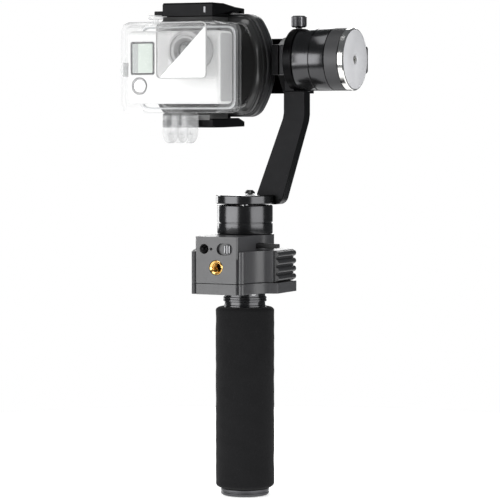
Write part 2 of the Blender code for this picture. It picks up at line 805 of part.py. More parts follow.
def build_yaw_arm():
    """The cranked arm: leg under the cap, slanted reach, upright."""
    base = YAW_CAP_BASE - GAP
    left = foot_edge()
    top = TILT_Z - TILT_RADIUS - GAP
    corner = 0.0050
    right = left + ARM_WIDTH + 0.0046
    leg_left = left - ARM_LEG + GAP
    outline = [(leg_left, base), (right - corner, base)]
    outline += arc((right - corner, base + corner), corner, -75, -18, 4)
    outline += [(ARM_X + ARM_WIDTH - 0.0006, ARM_KNEE_Z - 0.0040), (ARM_X + ARM_WIDTH, ARM_KNEE_Z)]
    outline += [(ARM_X + ARM_WIDTH, top), (ARM_X, top), (ARM_X, ARM_KNEE_Z + 0.0010)]
    outline += [(ARM_X - 0.0006, ARM_KNEE_Z - 0.0022), (left + 0.0011, YAW_CAP_TOP + 0.0004)]
    outline += [(left, YAW_CAP_TOP - 0.0010), (left, base + ARM_LEG_HEIGHT)]
    outline += [(leg_left, base + ARM_LEG_HEIGHT)]
    half = ARM_THICKNESS / 2
    arm = plate("yaw_arm", outline, TILT_Y - half, TILT_Y + half, "Y")
    bevel(arm, ARM_CHAMFER, 1, 60)
    screw_hole = rod("leg_screw_hole", 0.0014 + GAP, base - 0.001, YAW_CAP_TOP,
                     centre=(ARM_SCREW_X, TILT_Y, 0), steps=SMALL)
    cut(arm, screw_hole)
    return paint(smooth(arm), anodised())


def build_arm_screw():
    """The domed screw that holds the arm's leg under the cap."""
    crown = YAW_CAP_TOP + GAP
    profile = [(0, crown + 0.0022), (0.0015, crown + 0.0022), (0.0026, crown + 0.0014)]
    profile += [(ARM_SCREW_RADIUS, crown), (0.0014, crown), (0.0014, YAW_CAP_BASE), (0, YAW_CAP_BASE)]
    screw = revolve("arm_screw", profile, centre=(ARM_SCREW_X, TILT_Y, 0), steps=SMALL)
    return paint(smooth(screw, 60), anodised())


def build_arm_head():
    """The ring that carries the tilt motor, on a foot over the arm's top."""
    centre = (0, TILT_Y, TILT_Z)
    end = HEAD_START + HEAD_WIDTH
    head = ring("arm_head", TILT_RADIUS, HEAD_BORE, HEAD_START, end, "X", centre, ease=0.0004)
    foot = block("head_foot", (HEAD_START - 0.0035, TILT_Y - 0.0060, TILT_Z - TILT_RADIUS),
                 (HEAD_START + 0.0020, TILT_Y + 0.0060, TILT_Z - TILT_RADIUS + 0.0055))
    knob_hole = rod("knob_hole", 0.0016 + GAP, TILT_Z + 0.0098, TILT_Z + 0.0200,
                    centre=(HEAD_START + HEAD_WIDTH / 2, TILT_Y, 0), steps=SMALL)
    fuse(head, foot)
    cut(head, knob_hole)
    return paint(smooth(head), anodised())


def build_thumb_knob():
    """The knurled thumb screw: grooved knob on a plain stem."""
    x = HEAD_START + HEAD_WIDTH / 2
    low = TILT_Z + TILT_RADIUS + 0.0007
    outline = []
    for i in range(THUMB_TEETH):
        for share, radius in ((0.0, THUMB_RADIUS), (0.5, THUMB_RADIUS - 0.0004)):
            turn = math.tau * (i + share) / THUMB_TEETH
            outline.append((x + radius * math.cos(turn), TILT_Y + radius * math.sin(turn)))
    knob = plate("thumb_knob", outline, low, low + THUMB_HEIGHT)
    bevel(knob, 0.0004, 1, 80)
    stem = rod("knob_stem", 0.0016, TILT_Z + 0.0098 + GAP, low + 0.001, centre=(x, TILT_Y, 0), steps=SMALL)
    fuse(knob, stem)
    return paint(smooth(knob, 50), anodised())


def build_tilt_motor():
    """Case, matte band, windings, silver end cap and its screw."""
    centre = (TILT_CASE_START, TILT_Y, TILT_Z)
    band_at = TILT_CASE_WIDTH - TILT_BAND_WIDTH - GAP
    step = TILT_RADIUS - 0.0012
    case = motor_case("tilt_motor_case", TILT_RADIUS, TILT_CASE_WIDTH, "X", centre,
                      [TILT_GROOVE_AT], band_at, step)
    paint(case, anodised())
    band = ring("tilt_band", TILT_RADIUS, step + GAP, band_at + GAP, TILT_CASE_WIDTH, "X", centre, ease=0.0002)
    paint(smooth(band), dark_metal())
    start = TILT_CASE_END + GAP
    inner = step - 0.0012 - GAP
    windings = ring("tilt_windings", inner - MAGNET_THICKNESS - 2 * GAP, SHAFT_RADIUS + GAP,
                    MOTOR_WALL + GAP, 0.0190, "X", centre, MEDIUM)
    paint(smooth(windings), copper())
    cap = rod("tilt_end_cap", TILT_RADIUS, start, start + END_CAP_WIDTH, "X", (0, TILT_Y, TILT_Z), FINE + 8, 0.0005)
    recess = rod("cap_recess", END_SCREW_RADIUS + GAP, start + 0.0022, start + 0.010, "X",
                 (0, TILT_Y, TILT_Z), SMALL)
    cut(cap, recess)
    paint(smooth(cap), silver())
    screw = rod("end_screw", END_SCREW_RADIUS, start + 0.0022 + GAP, start + END_CAP_WIDTH - 0.0003, "X",
                (0, TILT_Y, TILT_Z), MEDIUM, 0.0003)
    socket = rod("screw_socket", 0.0011, start + 0.0030, start + 0.010, "X", (0, TILT_Y, TILT_Z), 6)
    cut(screw, socket)
    paint(smooth(screw), steel())
    return [case, band, windings, cap, screw]


def build_stop_plate():
    """The small plate on the motor's back, with its pin."""
    y = TILT_Y + TILT_RADIUS + GAP
    x = TILT_CASE_END + END_CAP_WIDTH - 0.0042
    foot = plate("stop_plate", rounded_box(0.0076, 0.0156, 0.0016, (x, TILT_Z)), y, y + 0.0016, "Y")
    pin = rod("stop_pin", 0.00115, y + 0.001, y + 0.0060, "Y", (x, 0, TILT_Z), SMALL)
    fuse(foot, pin)
    return paint(smooth(foot), anodised())


def build_tilt_shaft():
    """The shaft from the tilt motor's rotor, through the head, to the coupling block."""
    start = HEAD_START - GAP - PRESS_DEPTH
    end = TILT_CASE_START + 0.0225
    shaft = rod("tilt_shaft", SHAFT_RADIUS, start, end, "X", (0, TILT_Y, TILT_Z), SMALL)
    return paint(smooth(shaft), steel())


def build_tilt_rotor():
    """The magnet bell round the tilt windings."""
    outer = TILT_RADIUS - 0.0024 - 2 * GAP
    inner = outer - MAGNET_THICKNESS
    web = 0.0205
    back = 0.0218
    bore = SHAFT_RADIUS + GAP
    profile = [(bore, back), (outer, back), (outer, 0.0045), (inner, 0.0045), (inner, web), (bore, web)]
    bell = revolve("tilt_rotor", profile, "X", (TILT_CASE_START, TILT_Y, TILT_Z), MEDIUM, True)
    return paint(smooth(bell), dark_metal())


# Tilt bracket and roll motor ----------------------------------------------

def build_coupling_block():
    """The block on the tilt shaft's end that the bracket is bolted to."""
    right = HEAD_START - GAP
    left = BRACKET_X + BRACKET_THICKNESS + GAP
    half = BLOCK_HEIGHT / 2
    made = block("coupling_block", (left, TILT_Y - BLOCK_DEPTH / 2, TILT_Z - half),
                 (right, TILT_Y + BLOCK_DEPTH / 2, TILT_Z + half))
    bevel(made, 0.0008)
    bore = rod("block_bore", SHAFT_RADIUS + GAP, right - PRESS_DEPTH - GAP, right + 0.001, "X",
               (0, TILT_Y, TILT_Z), SMALL)
    cut(made, bore)
    return paint(smooth(made), anodised())


def build_tilt_bracket():
    """The L-shaped bracket: side plate beside the pod, rear plate behind the roll motor."""
    front = TILT_Y - BLOCK_DEPTH / 2
    back = BRACKET_BACK + BRACKET_THICKNESS
    half = BRACKET_HEIGHT / 2
    nose = BLOCK_HEIGHT / 2
    low, high = ROLL_Z - half, ROLL_Z + half
    outline = [(front, TILT_Z - nose), (front + 0.0080, TILT_Z - nose), (front + 0.0150, low + 0.0010)]
    outline += [(front + 0.0180, low), (back, low), (back, high), (front + 0.0180, high)]
    outline += [(front + 0.0150, high - 0.0006), (front + 0.0080, TILT_Z + nose), (front, TILT_Z + nose)]
    side = plate("tilt_bracket", outline, BRACKET_X, BRACKET_X + BRACKET_THICKNESS, "X")
    rear_outline = [(BRACKET_X + BRACKET_THICKNESS, high)]
    rear_outline += arc((ROLL_X, ROLL_Z), half, 90, 270, 14)
    rear_outline += [(BRACKET_X + BRACKET_THICKNESS, low)]
    rear = plate("rear_plate", rear_outline, BRACKET_BACK, back, "Y")
    fuse(side, rear)
    bevel(side, 0.0006, 1, 50)
    return paint(smooth(side), anodised())


def build_roll_motor():
    """Case and windings of the motor behind the camera holder."""
    centre = (ROLL_X, ROLL_CASE_END, ROLL_Z)
    case = motor_case("roll_motor_case", ROLL_RADIUS, ROLL_CASE_WIDTH, "Y", centre, [0.0070])
    case.matrix_world = Matrix.Translation(centre) @ Matrix.Rotation(math.radians(90), 4, "X")
    paint(case, anodised())
    low = ROLL_CASE_START + 0.0015
    windings = ring("roll_windings", ROLL_RADIUS - MOTOR_WALL - GAP, SHAFT_RADIUS + GAP, low,
                    ROLL_CASE_END - MOTOR_WALL - GAP, "Y", (ROLL_X, 0, ROLL_Z), MEDIUM)
    paint(smooth(windings), copper())
    return [case, windings]


# Camera holder ------------------------------------------------------------

def pod_outline(inset, steps=5):
    """Barrel-sided outline of the holder in (X, Z), inset from its full size."""
    corner = POD_CORNER - inset * 0.5
    radius = POD_SIDE_RADIUS - inset
    half_height = POD_HEIGHT / 2 - inset
    shift = POD_SIDE_RADIUS - POD_WIDTH / 2
    rise = half_height - corner
    corner_x = -shift + math.sqrt((radius - corner) ** 2 - rise ** 2)
    meet = math.degrees(math.atan2(rise, corner_x + shift))
    quarter = arc((-shift, 0), radius, 0, meet, 6)[:-1]
    quarter += arc((corner_x, rise), corner, meet, 90, steps)
    upper = quarter + [(-x, z) for x, z in reversed(quarter)][:-1]
    lower = [(-x, -z) for x, z in upper]
    return [(ROLL_X + x, ROLL_Z + z) for x, z in upper + [(-POD_WIDTH / 2 + inset, 0)] + lower[1:]]


def pod_rings(steps):
    """Outlines at each depth, for a loft through (inset, Y) pairs."""
    return [[(x, y, z) for x, z in pod_outline(inset)] for inset, y in steps]


def build_pod_shell():
    """The rear shell of the holder: jaw slots, shaft seat and sensor pocket."""
    front = POD_FRONT + BEZEL_DEPTH + GAP
    middle = front + 0.0048
    rim = BEZEL_STEP
    steps = [(rim, front), (0, front + 0.0008), (0, middle - 0.0006), (0.0006, middle)]
    steps += [(0, middle + 0.0006), (0, POD_BACK - 0.0030), (0.0030, POD_BACK)]
    shell = loft("pod_shell", pod_rings(steps))
    slot_half = STEM_WIDTH / 2 + GAP
    near, far = STEM_Y - STEM_THICKNESS / 2 - GAP, STEM_Y + STEM_THICKNESS / 2 + GAP
    reach = STEM_LENGTH + 0.0020
    for name, low, high in (("top_slot", POD_TOP - reach, POD_TOP + 0.002),
                            ("lower_slot", POD_BOTTOM - 0.002, POD_BOTTOM + reach)):
        cut(shell, block(name, (ROLL_X - slot_half, near, low), (ROLL_X + slot_half, far, high)))
    seat = rod("hub_seat", SHAFT_RADIUS + GAP, POD_BACK - PRESS_DEPTH - GAP, POD_BACK + 0.001, "Y",
               (ROLL_X, 0, ROLL_Z), SMALL)
    sensor = block("sensor_pocket", (ROLL_X - 0.034, front - 0.001, ROLL_Z - 0.009),
                   (ROLL_X - 0.016, front + 0.0040, ROLL_Z + 0.009))
    cut(shell, seat, sensor)
    return paint(smooth(shell, 30), housing())


def build_pod_bezel():
    """The front bezel: stepped bands round a flat face."""
    back = POD_FRONT + BEZEL_DEPTH
    step = BEZEL_STEP
    steps = [(step * 3.4, POD_FRONT), (step * 1.7, POD_FRONT + 0.0022), (step * 1.7, POD_FRONT + 0.0030)]
    steps += [(step, POD_FRONT + 0.0034), (step, back)]
    return paint(smooth(loft("pod_bezel", pod_rings(steps)), 30), glossy_black())


def build_motion_sensor():
    """The sensor board behind the bezel."""
    front = POD_FRONT + BEZEL_DEPTH + GAP
    board = block("motion_sensor", (ROLL_X - 0.0335, front + 0.0005, ROLL_Z - 0.0085),
                  (ROLL_X - 0.0165, front + 0.0021, ROLL_Z + 0.0085))
    return paint(board, circuit_board())


def build_rest_pad():
    """The pad that the camera's back rests against."""
    pad = plate("rest_pad", rounded_box(REST_PAD_SIZE, REST_PAD_SIZE * 0.8, 0.004, (ROLL_X, ROLL_Z)),
                CASE_BACK + GAP, POD_FRONT - GAP, "Y")
    return paint(smooth(pad), soft_rubber())


def build_roll_hub():
    """The flange between the roll motor and the holder."""
    low = POD_BACK + GAP
    hub = ring("roll_hub", ROLL_RADIUS - 0.0005, SHAFT_RADIUS + GAP, low, low + ROLL_HUB_WIDTH, "Y",
               (ROLL_X, 0, ROLL_Z), MEDIUM, 0.0004)
    return paint(smooth(hub), anodised())


def build_roll_shaft():
    """The shaft that turns the holder."""
    shaft = rod("roll_shaft", SHAFT_RADIUS, POD_BACK - PRESS_DEPTH, ROLL_CASE_END - MOTOR_WALL - 2 * GAP, "Y",
                (ROLL_X, 0, ROLL_Z), SMALL)
    return paint(smooth(shaft), steel())


def build_top_jaw():
    """The upper jaw: thick front bar, sloping tail with its hook notch, and stem."""
    low = TOP_PAD_Z + JAW_PAD_THICKNESS + GAP
    high = low + TOP_JAW_HEIGHT
    clear = POD_TOP + 2 * GAP
    outline = [(JAW_FRONT, low), (POD_FRONT - GAP, low), (POD_FRONT - GAP, clear), (JAW_BACK, clear)]
    outline += [(JAW_BACK, clear + JAW_TAIL_HEIGHT), (STEM_Y, clear + JAW_TAIL_HEIGHT + 0.0006)]
    outline += [(0.0010, high), (JAW_FRONT + 0.0008, high), (JAW_FRONT, high - 0.0008)]
    left, right = ROLL_X - JAW_WIDTH / 2, ROLL_X + JAW_WIDTH / 2
    jaw = plate("top_jaw", outline, left, right, "X")
    notch = rod("hook_notch", 0.0016, left - 0.001, right + 0.001, "X", (0, JAW_BACK - 0.0055, clear), SMALL)
    stem_top = clear + JAW_TAIL_HEIGHT * 0.5
    stem = block("top_stem", (ROLL_X - STEM_WIDTH / 2, STEM_Y - STEM_THICKNESS / 2, POD_TOP - STEM_LENGTH),
                 (ROLL_X + STEM_WIDTH / 2, STEM_Y + STEM_THICKNESS / 2, stem_top))
    tab = block("jaw_tab", (left - 0.0056, JAW_FRONT + 0.0004, low),
                (left + 0.001, JAW_FRONT + 0.0040, low + 0.0030))
    cut(jaw, notch)
    fuse(jaw, stem, tab)
    return paint(smooth(jaw), anodised())


def build_lower_jaw():
    """The lower jaw, thinner, with the same tail and stem below the holder."""
    high = LOWER_PAD_Z - GAP
    low = high - LOWER_JAW_HEIGHT
    clear = POD_BOTTOM - 2 * GAP
    outline = [(JAW_FRONT, high), (JAW_FRONT, low + 0.0008), (JAW_FRONT + 0.0008, low)]
    outline += [(0.0010, low), (JAW_BACK, clear - JAW_TAIL_HEIGHT - 0.0020)]
    outline += [(JAW_BACK, clear - 0.0022), (STEM_Y + 0.0045, clear), (POD_FRONT - GAP, clear)]
    outline += [(POD_FRONT - GAP, high)]
    left, right = ROLL_X - JAW_WIDTH / 2, ROLL_X + JAW_WIDTH / 2
    jaw = plate("lower_jaw", outline, left, right, "X")
    stem = block("lower_stem", (ROLL_X - STEM_WIDTH / 2, STEM_Y - STEM_THICKNESS / 2, clear - 0.0020),
                 (ROLL_X + STEM_WIDTH / 2, STEM_Y + STEM_THICKNESS / 2, POD_BOTTOM + STEM_LENGTH))
    fuse(jaw, stem)
    return paint(smooth(jaw), anodised())


def build_jaw_pad(name, low):
    """A rubber strip between a jaw and the case."""
    left, right = ROLL_X - JAW_WIDTH / 2, ROLL_X + JAW_WIDTH / 2
    pad = block(name, (left, JAW_FRONT, low), (right, POD_FRONT - GAP, low + JAW_PAD_THICKNESS))
    bevel(pad, 0.0005)
    return paint(smooth(pad), soft_rubber())


# Camera and case ----------------------------------------------------------

def case_outline(inset):
    """The case's front outline, with cut corners, inset for its inner wall."""
    x, z = ROLL_X, CASE_BOTTOM + CASE_HEIGHT / 2
    corner = CASE_CORNER - inset * 0.6
    return rounded_box(CASE_WIDTH - 2 * inset, CASE_HEIGHT - 2 * inset, corner, (x, z), 2)


def build_case_front():
    """The clear front shell: lens port with a glass seat, and three prongs below."""
    shell = plate("case_front", case_outline(0), CASE_FRONT, CASE_SPLIT, "Y")
    bevel(shell, 0.0012, 2, 60)
    port_front = CASE_FRONT - PORT_REACH
    lens_box = rounded_box(PORT_SQUARE, PORT_SQUARE, 0.0035, (LENS_X, LENS_Z), 3)
    port = plate("lens_port", lens_box, port_front, CASE_FRONT + 0.0015, "Y")
    fuse(shell, port)
    hollow = plate("case_hollow", case_outline(CASE_WALL), CASE_FRONT + CASE_WALL, CASE_SPLIT + 0.001, "Y")
    inner = PORT_SQUARE - 2 * CASE_WALL
    throat = plate("port_hollow", rounded_box(inner, inner, 0.0020, (LENS_X, LENS_Z), 3),
                   port_front - 0.001, CASE_FRONT + CASE_WALL + 0.001, "Y")
    cut(shell, hollow, throat)
    pitch = 2 * PRONG_THICKNESS
    axle = CASE_BOTTOM - PRONG_DROP
    root = CASE_BOTTOM + 0.0010
    for i in (-1, 0, 1):
        outline = [(PRONG_Y + PRONG_RADIUS, root), (PRONG_Y - PRONG_RADIUS, root)]
        outline += arc((PRONG_Y, axle), PRONG_RADIUS, 180, 360, 10)
        start = ROLL_X + i * pitch - PRONG_THICKNESS / 2
        fuse(shell, plate(f"prong_{i + 1}", outline, start, start + PRONG_THICKNESS, "X"))
    bolt = rod("prong_bolt", PRONG_HOLE, ROLL_X - 2 * pitch, ROLL_X + 2 * pitch, "X", (0, PRONG_Y, axle), SMALL)
    boss = rod("shutter_bore", 0.0016 + GAP, CASE_TOP - 0.003, CASE_TOP + 0.001,
               centre=(SHUTTER_X, PRONG_Y, 0), steps=SMALL)
    cut(shell, bolt, boss)
    return paint(smooth(shell), clear_plastic())


def build_case_door():
    """The back door of the case."""
    door = plate("case_door", case_outline(0), CASE_SPLIT + GAP, CASE_BACK, "Y")
    bevel(door, 0.0010, 2, 60)
    dish_end = CASE_BACK - CASE_WALL
    dish = plate("door_dish", case_outline(0.0030), CASE_SPLIT - 0.001, dish_end, "Y")
    cut(door, dish)
    return paint(smooth(door), clear_plastic())


def build_port_glass():
    """The flat window at the front of the lens port."""
    size = PORT_SQUARE - 2 * CASE_WALL - 2 * GAP
    start = CASE_FRONT - PORT_REACH + 0.0004
    pane = plate("port_glass", rounded_box(size, size, 0.0020, (LENS_X, LENS_Z), 3),
                 start, start + GLASS_THICKNESS, "Y")
    return paint(smooth(pane), clear_plastic())


def build_shutter_button():
    """The sprung push button on top of the case."""
    cap_low = CASE_TOP + SHUTTER_TRAVEL + GAP
    profile = [(0, cap_low + 0.0022), (SHUTTER_RADIUS - 0.0006, cap_low + 0.0022)]
    profile += [(SHUTTER_RADIUS, cap_low + 0.0016), (SHUTTER_RADIUS, cap_low), (0.0016, cap_low)]
    profile += [(0.0016, CASE_TOP - 0.0012), (0, CASE_TOP - 0.0012)]
    button = revolve("shutter_button", profile, centre=(SHUTTER_X, PRONG_Y, 0), steps=MEDIUM)
    return paint(smooth(button), clear_plastic())


def camera_box():
    """Lowest and highest corner of the camera's body."""
    low_z = CASE_BOTTOM + (CASE_HEIGHT - CAMERA_HEIGHT) / 2
    front = CASE_FRONT + CASE_WALL + 0.0014
    return (Vector((ROLL_X - CAMERA_WIDTH / 2, front, low_z)),
            Vector((ROLL_X + CAMERA_WIDTH / 2, front + CAMERA_DEPTH, low_z + CAMERA_HEIGHT)))


def build_camera_body():
    """The camera, with seats for its lens, screen and front button."""
    low, high = camera_box()
    body = block("camera_body", low, high)
    bevel(body, 0.0025, 3)
    lens_seat = rod("lens_seat", LENS_RADIUS + GAP, low.y - 0.001, low.y + 0.0040, "Y",
                    (LENS_X, 0, LENS_Z), MEDIUM)
    window = rounded_box(SCREEN_WIDTH + 2 * GAP, SCREEN_HEIGHT + 2 * GAP, 0.0012, screen_centre(), 2)
    screen_seat = plate("screen_seat", window, low.y - 0.001, low.y + 0.0009, "Y")
    button_seat = rod("button_seat", FRONT_BUTTON_RADIUS + GAP, low.y - 0.001, low.y + 0.0014, "Y", front_button_centre(), MEDIUM)
    cut(body, lens_seat, screen_seat, button_seat)
    return paint(smooth(body), pale_plastic())


def screen_centre():
    """Centre of the status screen in (X, Z)."""
    return (ROLL_X - 0.0194, CASE_BOTTOM + 0.0308)


def front_button_centre():
    """Centre of the camera's round front button."""
    return (ROLL_X - 0.0214, 0, CASE_BOTTOM + 0.0152)


def build_camera_lens():
    """The lens: stepped barrel round a recessed front element."""
    low, _ = camera_box()
    profile = [(0, low.y + 0.0040 - GAP), (LENS_RADIUS, low.y + 0.0040 - GAP), (LENS_RADIUS, -0.0372)]
    profile += [(LENS_RADIUS - 0.0008, -0.0380), (LENS_RADIUS - 0.0022, -0.0380)]
    profile += [(LENS_RADIUS - 0.0040, -0.0362), (0.0050, -0.0358), (0.0030, -0.0366), (0, -0.0369)]
    lens = revolve("camera_lens", profile, "Y", (LENS_X, 0, LENS_Z), MEDIUM)
    return paint(smooth(lens), glossy_black())


def build_camera_screen():
    """The status screen's window."""
    low, _ = camera_box()
    screen = plate("camera_screen", rounded_box(SCREEN_WIDTH, SCREEN_HEIGHT, 0.0010, screen_centre(), 2),
                   low.y + 0.0001, low.y + 0.0009 - GAP, "Y")
    return paint(smooth(screen), glossy_black())


def build_camera_button():
    """The round front button."""
    low, _ = camera_box()
    button = rod("camera_button", FRONT_BUTTON_RADIUS, low.y - 0.0004, low.y + 0.0014 - GAP, "Y",
                 front_button_centre(), MEDIUM, 0.0003)
    return paint(smooth(button), silver())


# Assembly -----------------------------------------------------------------

def main():
    """Builds each sub-part and hangs the moving ones from empties on their joints' axes."""
    clear_scene()
    make_collections()
    build_handle_tube()
    build_foam_grip()
    build_neck_ring()
    build_battery_cell()
    build_battery_spring()
    build_battery_contact()
    build_control_box()
    build_box_cover()
    build_side_grip("side_grip_right", 1)
    build_side_grip("side_grip_left", -1)
    build_tripod_insert()
    build_status_led()
    build_control_board()
    build_yaw_motor()
    hang(build_tail_cap(), pivot("tail_cap_axis", (0, 0, 0)))
    hang(build_mode_button(), pivot("mode_button_axis", (BUTTON_X, -NOSE_REACH, CONTROL_Z)))
    hang(build_power_slider(), pivot("power_slider_axis", (SWITCH_X, -NOSE_REACH, CONTROL_Z)))
    hang(build_port_plug(), pivot("port_plug_axis", (YAW_RADIUS, PORT_Y, SHOULDER_Z + PORT_HEIGHT)))

    yaw = pivot("yaw_axis", (0, 0, YAW_CAP_BASE))
    turning = [build_yaw_cap(), build_yaw_shaft(), build_yaw_arm(), build_arm_screw()]
    turning += [build_arm_head(), *build_tilt_motor(), build_stop_plate()]
    for part in turning:
        hang(part, yaw)
    hang(build_thumb_knob(), pivot("thumb_knob_axis", (HEAD_START + HEAD_WIDTH / 2, TILT_Y, TILT_Z), yaw))

    tilt = pivot("tilt_axis", (HEAD_START, TILT_Y, TILT_Z), yaw)
    tilting = [build_tilt_shaft(), build_tilt_rotor(), build_coupling_block(), build_tilt_bracket()]
    tilting += build_roll_motor()
    for part in tilting:
        hang(part, tilt)

    roll = pivot("roll_axis", (ROLL_X, POD_BACK, ROLL_Z), tilt)
    rolling = [build_pod_shell(), build_pod_bezel(), build_motion_sensor(), build_rest_pad()]
    rolling += [build_roll_hub(), build_roll_shaft()]
    for part in rolling:
        hang(part, roll)

    top = pivot("top_jaw_axis", (ROLL_X, STEM_Y, POD_TOP), roll)
    for part in (build_top_jaw(), build_jaw_pad("top_jaw_pad", TOP_PAD_Z)):
        hang(part, top)
    lower = pivot("lower_jaw_axis", (ROLL_X, STEM_Y, POD_BOTTOM), roll)
    for part in (build_lower_jaw(), build_jaw_pad("lower_jaw_pad", LOWER_PAD_Z)):
        hang(part, lower)

    camera = pivot("camera_axis", (ROLL_X, CASE_BACK, ROLL_Z), roll)
    held = [build_case_front(), build_case_door(), build_port_glass(), build_camera_body()]
    held += [build_camera_lens(), build_camera_screen(), build_camera_button()]
    for part in held:
        hang(part, camera)
    hang(build_shutter_button(), pivot("shutter_axis", (SHUTTER_X, PRONG_Y, CASE_TOP), camera))


main()
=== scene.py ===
"""Looks of a handheld gimbal stabilizer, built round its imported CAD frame.

Each sub-assembly is a class that builds its own pieces and dresses its CAD nodes. Sizes come from
the boxes of the CAD nodes, so the pieces fit the frame wherever it is changed.
"""

import logging
import math
from dataclasses import dataclass, field
from enum import Enum

import bmesh
import bpy
import numpy as np
from mathutils import Matrix, Vector

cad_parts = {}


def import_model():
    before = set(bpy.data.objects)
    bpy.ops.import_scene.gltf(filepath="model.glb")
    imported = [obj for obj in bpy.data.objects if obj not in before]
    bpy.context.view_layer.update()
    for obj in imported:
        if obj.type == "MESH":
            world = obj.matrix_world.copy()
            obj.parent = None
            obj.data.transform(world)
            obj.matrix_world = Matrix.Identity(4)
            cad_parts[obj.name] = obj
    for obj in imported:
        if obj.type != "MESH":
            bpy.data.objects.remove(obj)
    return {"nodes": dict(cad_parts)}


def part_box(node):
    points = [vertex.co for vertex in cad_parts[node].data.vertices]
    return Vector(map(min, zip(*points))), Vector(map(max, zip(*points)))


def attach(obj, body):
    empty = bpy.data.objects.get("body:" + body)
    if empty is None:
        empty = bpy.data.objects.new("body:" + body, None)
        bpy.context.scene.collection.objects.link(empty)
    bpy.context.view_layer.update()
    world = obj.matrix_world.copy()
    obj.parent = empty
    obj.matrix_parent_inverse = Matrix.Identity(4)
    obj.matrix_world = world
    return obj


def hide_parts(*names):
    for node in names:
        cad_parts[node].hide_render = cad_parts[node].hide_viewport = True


log = logging.getLogger("gimbal")
SHARP_ANGLE = 34             # degrees; CAD edges above it stay sharp
EASE_ANGLE = 38              # degrees; CAD edges above it are rounded
EASE_SEGMENTS = 2
WELD_DISTANCE = 1e-6
Colour = tuple[float, float, float]
Point = tuple[float, float, float]
Profile = list[tuple[float, float]]


class Axis(Enum):
    """The row axis that a round piece turns about."""

    X = "X"
    Y = "Y"
    Z = "Z"

    def matrix(self) -> Matrix:
        """Rotation that takes +Z to this axis."""
        if self is Axis.X:
            return Matrix(((0, 0, 1, 0), (1, 0, 0, 0), (0, 1, 0, 0), (0, 0, 0, 1)))
        if self is Axis.Y:
            return Matrix(((1, 0, 0, 0), (0, 0, 1, 0), (0, -1, 0, 0), (0, 0, 0, 1)))
        return Matrix.Identity(4)


class Flow(Enum):
    """Which way the fine marks of a machined finish run."""

    TURNED = "turned"
    BRUSHED = "brushed"
    BLASTED = "blasted"


# Shader maths -------------------------------------------------------------


class Signal:
    """A shader socket that can be used in Python arithmetic."""

    def __init__(self, graph: "NodeGraph", socket: bpy.types.NodeSocket) -> None:
        """Wraps one output socket of a graph."""
        self.graph = graph
        self.socket = socket

    def __add__(self, other: "Signal | float") -> "Signal":
        """Adds a value."""
        return self.graph.maths("ADD", self, other)

    def __sub__(self, other: "Signal | float") -> "Signal":
        """Takes a value away."""
        return self.graph.maths("SUBTRACT", self, other)

    def __mul__(self, other: "Signal | float") -> "Signal":
        """Multiplies by a value."""
        return self.graph.maths("MULTIPLY", self, other)

    def __pow__(self, other: float) -> "Signal":
        """Raises to a power."""
        return self.graph.maths("POWER", self, other)

    def __gt__(self, other: "Signal | float") -> "Signal":
        """One where this is greater, else zero."""
        return self.graph.maths("GREATER_THAN", self, other)

    def __lt__(self, other: "Signal | float") -> "Signal":
        """One where this is less, else zero."""
        return self.graph.maths("LESS_THAN", self, other)

    def sine(self) -> "Signal":
        """Sine of this value."""
        return self.graph.maths("SINE", self)

    def clamped(self) -> "Signal":
        """This value kept between zero and one."""
        made = self.graph.maths("ADD", self, 0.0)
        made.socket.node.use_clamp = True
        return made


class NodeGraph:
    """A node tree, with short ways to add nodes to it."""

    tree: bpy.types.NodeTree

    def node(self, kind: str, settings: dict | None = None, **inputs: object) -> bpy.types.Node:
        """Adds a node.

        Args:
            kind: The node's type name.
            settings: Properties that are set before its sockets.
            inputs: Values or links of its sockets, by socket name with _ for a space.

        Returns:
            The new node.
        """
        made = self.tree.nodes.new(kind)
        for key, value in (settings or {}).items():
            setattr(made, key, value)
        for key, value in inputs.items():
            self.feed(made.inputs[key.replace("_", " ")], value)
        return made

    def feed(self, socket: bpy.types.NodeSocket, value: object) -> None:
        """Links a signal to a socket, or sets the socket's own value."""
        if isinstance(value, Signal):
            self.tree.links.new(value.socket, socket)
        elif isinstance(value, bpy.types.NodeSocket):
            self.tree.links.new(value, socket)
        elif socket.type == "RGBA" and len(value) == 3:
            socket.default_value = (*value, 1.0)
        else:
            socket.default_value = value

    def maths(self, operation: str, *values: object) -> Signal:
        """Adds a Math node and returns its result."""
        made = self.tree.nodes.new("ShaderNodeMath")
        made.operation = operation
        for socket, value in zip(made.inputs, values):
            self.feed(socket, value)
        return Signal(self, made.outputs[0])


